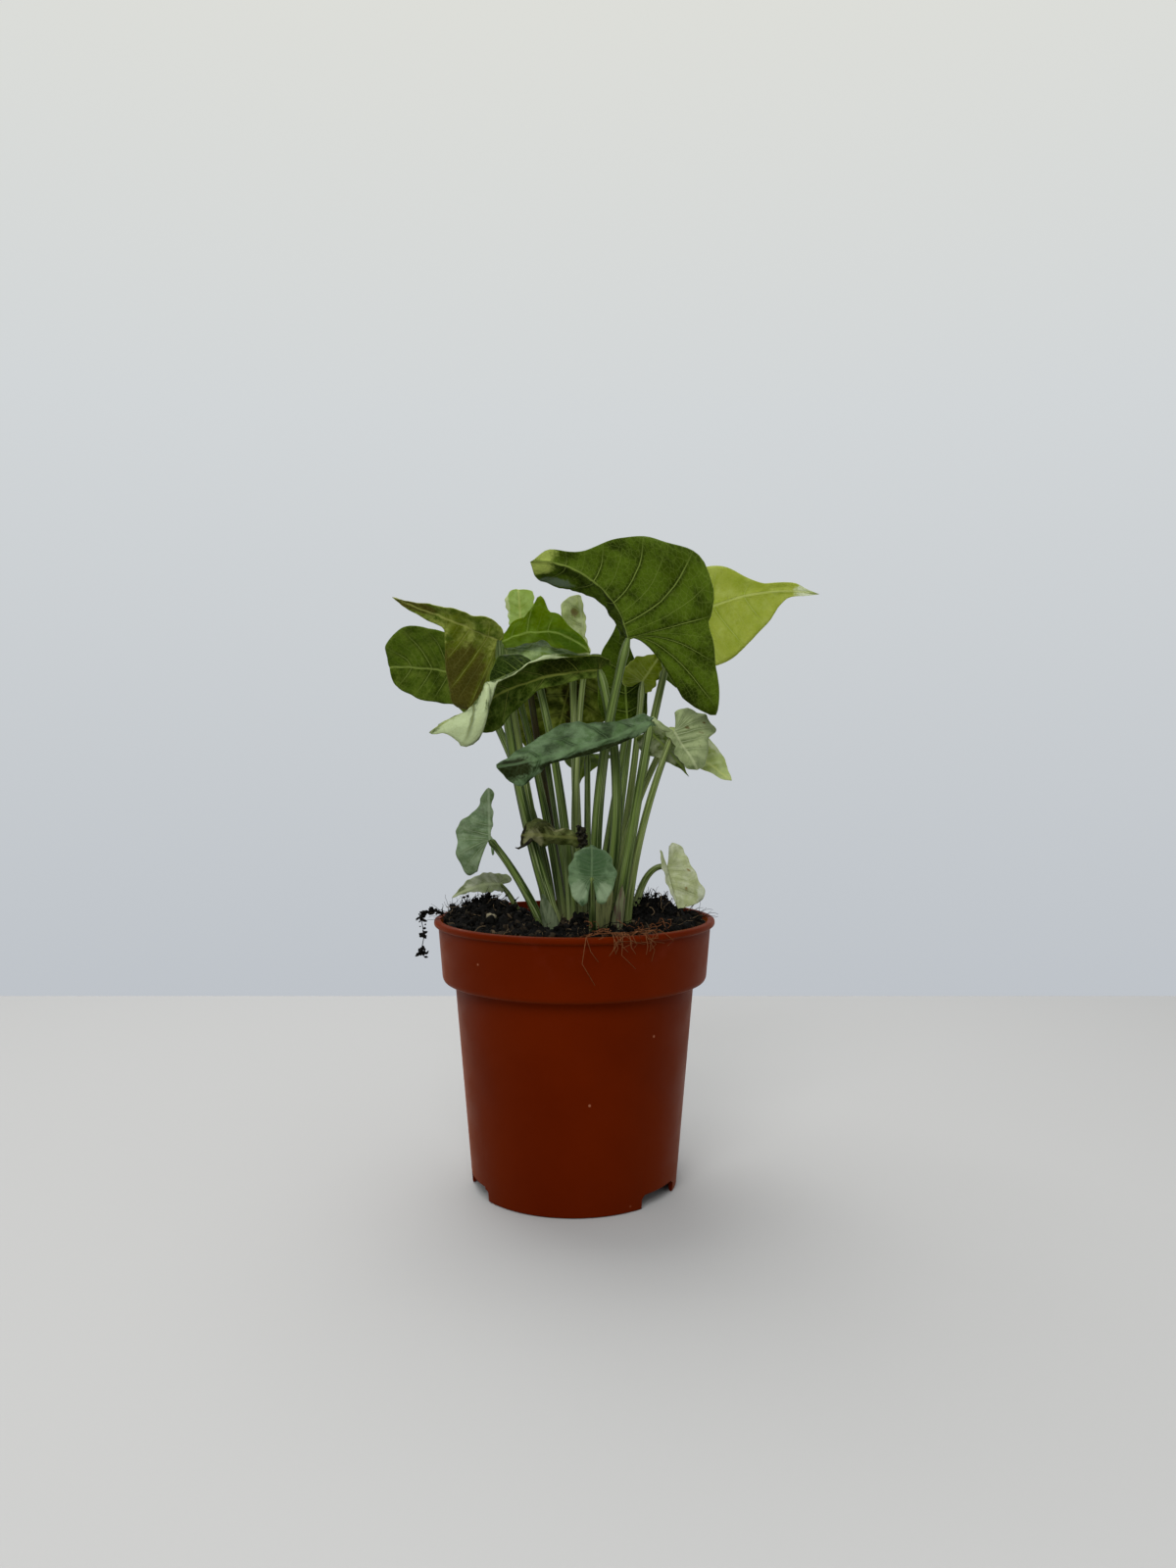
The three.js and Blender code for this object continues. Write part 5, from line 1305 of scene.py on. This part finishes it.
# Paler patches: fading and dried patches, and painted highlight where it is marked below.
FADED_AND_HIGHLIT = {
    # top: the crumpled tip, lighter where it is lit, painted highlight.
    "top": [(0.95, 0.05, 0.12, 0.12), (0.95, -0.06, 0.12, 0.06)],
    "right": [(0.95, 0, 0.12, 0.06)],
    "small_upright": [(0.6, -0.33, 0.3, 0.06)],
    # arching: thin pale bands along the rolled rim, painted highlight where it catches the light, and a paler
    # tip.
    "arching": [(0.15, 0.145, 0.16, 0.015), (0.35, 0.135, 0.16, 0.018), (0.55, 0.12, 0.16, 0.02),
                (0.7, 0.12, 0.1, 0.04), (0.9, 0.12, 0.14, 0.14)],
    "right_low": [(0.5, 0.3, 0.2, 0.06), (0.3, -0.05, 0.3, 0.08)],
    "low_front": [(-0.3, 0.25, 0.2, 0.16), (-0.3, -0.25, 0.2, 0.16)],
    "low_right": [(0.8, 0.6, 0.2, 0.1)],
    "withered": [(0.8, 0.1, 0.16, 0.2), (0.45, -0.15, 0.12, 0.06)],
}
# How high a leaf's surface is crumpled, in millimetres.
PLAIN_CRUMPLE = 0.2
CRUMPLED = {"top": 0.4, "right": 0.3, "left": 0.5, "far_left": 0.4, "middle": 0.5, "tucked": 0.3,
            "small_upright": 0.4, "pale_upright": 0.45, "arching": 0.5, "front": 0.6, "mottled": 0.55,
            "right_low": 0.4, "low_left": 0.5, "creeping_left": 0.3, "low_front": 0.4, "low_right": 0.5,
            "inner": 0.8, "inner_right": 0.4, "withered": 0.9}

for leaf in LEAVES:
    name = leaf["name"]
    blade, sheet = blade_body("leaf_" + name, leaf, CRUMPLED.get(name, PLAIN_CRUMPLE))
    # Darker patches, partly stains and partly painted shade.
    patched(blade, sheet, "stain_and_shade", STAINED_AND_SHADED.get(name, ()))
    # Paler patches, partly fading and partly painted highlight.
    patched(blade, sheet, "faded_and_highlit", FADED_AND_HIGHLIT.get(name, ()))
    look = {**LOOKS[leaf["tint"]], **OWN_LOOKS.get(name, {})}
    blade.data.materials.append(leaf_finish("leaf_skin_" + name, look))
    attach(blade, "root")
    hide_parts("blade_" + name)


# ---------------------------------------------------------------- stalks
# Fleshy round leaf stalks that rise in one clump from the soil, pale where they sheathe the stem and
# greener toward the leaf, finely ribbed along their length, with a slight knuckle under the blade.
STALK_FOOT = 93.0
STALK_SIDES = 18
STALK_STEPS = 40


def stalk_line(leaf):
    foot = np.array([*leaf["foot"], STALK_FOOT], float)
    joint = np.array(leaf["joint"], float)
    bend = (foot + joint) / 2 + 2 * np.array(leaf["lean"], float)
    t = np.linspace(0, 1, STALK_STEPS + 1)[:, None]
    return (1 - t) ** 2 * foot + 2 * t * (1 - t) * bend + t ** 2 * joint


def stalk_body(leaf):
    """A tapering stalk, wider at its foot, with fine ribs, a groove and a knuckle under the blade."""
    route = stalk_line(leaf)
    t = np.linspace(0, 1, len(route))
    knuckle = 1 + 0.16 * np.exp(-((t - 0.95) / 0.025) ** 2)
    radii = leaf["girth"] * (1 + 0.6 * (1 - t) ** 1.5) * knuckle * (1 - 0.45 * smoothstep(t, 0.965, 1))
    angles = np.linspace(0, 2 * math.pi, STALK_SIDES, endpoint=False)
    ribs = 1 + 0.015 * np.cos(9 * angles)
    rings = []
    for (at, heading, side, other), radius, share in zip(carried_along(route, (0.0, 1.0, 0.0)), radii, t):
        groove = 1 - 0.13 * np.exp(-((angles - math.pi * 1.5) / 0.5) ** 2) * smoothstep(share, 0.25, 0.5)
        out = side * np.cos(angles)[:, None] + other * np.sin(angles)[:, None]
        rings.append(at + out * (radius * groove * ribs)[:, None])
    points = np.vstack([route[:1], *rings, route[-1:] + heading * 0.1])
    made = mesh_object("stalk_of_" + leaf["name"], points, ringed_faces(len(rings), STALK_SIDES))
    told(made, "along", [0.0, *np.repeat(t, STALK_SIDES), 1.0])
    told(made, "around", [0.0, *np.tile(angles, len(route)), 0.0])
    return made


def stalk_finish(name, light, green, dark, decay=0.0):
    """Ribbed flesh: pale lines and dark bands run up it, and it is paler and a little brown at its foot."""
    material, tree = new_material(name)
    along = reading(tree, "along")
    around = reading(tree, "around")
    place = node(tree, "ShaderNodeTexCoord").outputs["Object"]
    spot = node(tree, "ShaderNodeSeparateXYZ")
    tree.links.new(place, spot.inputs["Vector"])

    def stretched(turns, rises, scale):
        lengthwise = node(tree, "ShaderNodeCombineXYZ")
        link_all(tree, (times(tree, around, turns), lengthwise.inputs["X"]),
                 (times(tree, along, rises), lengthwise.inputs["Y"]),
                 (times(tree, spot.outputs["X"], 60.0), lengthwise.inputs["Z"]))
        return noise(tree, lengthwise.outputs["Vector"], scale, 3.0, 0.6)

    # Partly the stalk's own stripes, partly painted shade: dark bands as on the shaded sides of a round
    # stalk.
    banded = mixed(tree, ranged(tree, stretched(1.0, 1.2, 1.1), 0.36, 0.62), colour(*green), colour(*dark))
    # Partly its own stripes, partly painted highlight: pale lines as on the lit middle of a round stalk.
    lines = ranged(tree, stretched(3.0, 1.0, 2.2), 0.5, 0.66)
    lined = mixed(tree, times(tree, lines, 0.6), banded, colour(*light))
    footed = mixed(tree, ranged(tree, along, 0.02, 0.2, 0.5, 0.0), lined, colour(128, 130, 88))
    blotch = ranged(tree, noise(tree, place, 160.0, 4.0, 0.65), 0.62 - 0.4 * decay, 0.8 - 0.4 * decay)
    spoiled = mixed(tree, times(tree, blotch, 0.4 + 0.6 * decay), footed, colour(46, 34, 16))
    flesh = principled(tree, spoiled, Roughness=0.42, Specular_IOR_Level=0.15,
                       Specular_Tint=colour(236, 255, 190))
    bumped(tree, lines, 0.35, 0.0004, flesh.inputs["Normal"])
    finished(tree, flesh.outputs["BSDF"])
    return material


# Each is given a pale colour (partly painted highlight), a green one and a dark one (partly painted shade).
STALK_GREEN = stalk_finish("stalk_green", (150, 162, 112), (92, 110, 52), (34, 50, 14))
STALK_PALE = stalk_finish("stalk_pale", (182, 190, 142), (120, 134, 74), (54, 70, 26))
STALK_ROTTEN = stalk_finish("stalk_rotten", (70, 66, 40), (50, 50, 24), (20, 18, 8), decay=0.6)
STALK_FINISHES = {"lit": STALK_PALE, "pale": STALK_PALE, "small_upright": STALK_ROTTEN}

for leaf in LEAVES:
    if "foot" not in leaf:
        continue
    stalk = stalk_body(leaf)
    finish = STALK_FINISHES.get(leaf["name"]) or STALK_FINISHES.get(leaf["tint"], STALK_GREEN)
    stalk.data.materials.append(finish)
    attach(stalk, "root")
    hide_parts("stalk_" + leaf["name"])


# ---------------------------------------------------------------- sheaths
# Old leaf bases: thin papery sheaths that wrap half round the foot of a stalk and run up to a point, and the
# dried tail of the withered leaf with a clot of rot beside it.
SHEATHS = [
    (dict(foot=(-7.6, -14.5), top=(-11, -15.5), height=16, radius=2.9, facing=-100),
     dict(pale=(104, 114, 86), streak=(70, 82, 56))),
    (dict(foot=(9, -17), top=(12.5, -16.5), height=25, radius=3.2, facing=-80),
     dict(pale=(142, 146, 92), streak=(96, 100, 62))),
    (dict(foot=(15.5, -15.5), top=(17, -15), height=20, radius=2.4, facing=-60),
     dict(pale=(124, 130, 92), streak=(92, 74, 62))),
]
SHEATH_FOOT = 97
SHEATH_WRAP = 92                 # degrees to either side at the foot
SHEATH_THICKNESS = 0.5
SHEATH_ROWS = 16
SHEATH_COLUMNS = 12


def sheath_body(name, foot, top, height, radius, facing):
    """A curved strip that narrows to a point, closed all round."""
    outer, inner = [], []
    for rise in np.linspace(0, 1, SHEATH_ROWS):
        centre = np.array(foot) + (np.array(top) - foot) * rise
        spread = math.radians(SHEATH_WRAP) * (1 - rise ** 1.6) + 0.05
        for share in np.linspace(-1, 1, SHEATH_COLUMNS):
            turn = math.radians(facing) + share * spread
            flare = radius * (1 + 0.12 * rise + 0.1 * share ** 4)
            for made, size in ((outer, flare), (inner, flare - SHEATH_THICKNESS)):
                made.append((centre[0] + size * math.cos(turn), centre[1] + size * math.sin(turn),
                             SHEATH_FOOT + height * rise))
    faces = []
    for row in range(SHEATH_ROWS - 1):
        for low in range(row * SHEATH_COLUMNS, (row + 1) * SHEATH_COLUMNS - 1):
            faces.append((low, low + 1, low + SHEATH_COLUMNS + 1, low + SHEATH_COLUMNS))
    return mesh_object(name, *closed(outer, inner, faces))


def papery(name, pale, streak):
    """A dull skin with fine upright streaks."""
    material, tree = new_material(name)
    place = node(tree, "ShaderNodeTexCoord").outputs["Object"]
    squeezed = node(tree, "ShaderNodeMapping")
    squeezed.inputs["Scale"].default_value = (1, 1, 0.12)
    tree.links.new(place, squeezed.inputs["Vector"])
    fibres = ranged(tree, noise(tree, squeezed.outputs["Vector"], 900.0, 4.0, 0.6), 0.4, 0.64)
    skin = principled(tree, mixed(tree, fibres, colour(*pale), colour(*streak)), Roughness=0.6,
                      Specular_IOR_Level=0.1)
    bumped(tree, fibres, 0.4, 0.0003, skin.inputs["Normal"])
    finished(tree, skin.outputs["BSDF"])
    return material


for number, (sizes, colours) in enumerate(SHEATHS):
    sheath = sheath_body(f"sheath_{number}", **sizes)
    sheath.data.materials.append(papery(f"sheath_skin_{number}", **colours))
    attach(sheath, "root")

TAIL = [(-14.8, -21, 135), (-15.6, -21.3, 133.4), (-17, -21.5, 132), (-18.6, -21.6, 131),
        (-20.4, -21.6, 130.1), (-21.6, -21.5, 130.4)]
TAIL_RADII = (1.0, 0.8, 0.65, 0.5, 0.4, 0.15)
TAIL_SIDES = 8
ROT_LUMPS = 26
ROT_PLACE = np.array((3.2, -22.5, 135))
ROT_SPREAD = (0.8, 0.8, 2.0)
remains = Heap()
remains.add(*tube(TAIL, TAIL_RADII, TAIL_SIDES), 0.0)
for _ in range(ROT_LUMPS):
    place = ROT_PLACE + draw.normal(0, 1, 3) * ROT_SPREAD
    remains.add(*lump(draw.uniform(0.5, 1.1), place, rough=0.35), 0.0)
rot = remains.build("withered_tail")
rot.data.materials.append(papery("rotten_skin", (40, 38, 24), (8, 7, 4)))
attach(rot, "root")
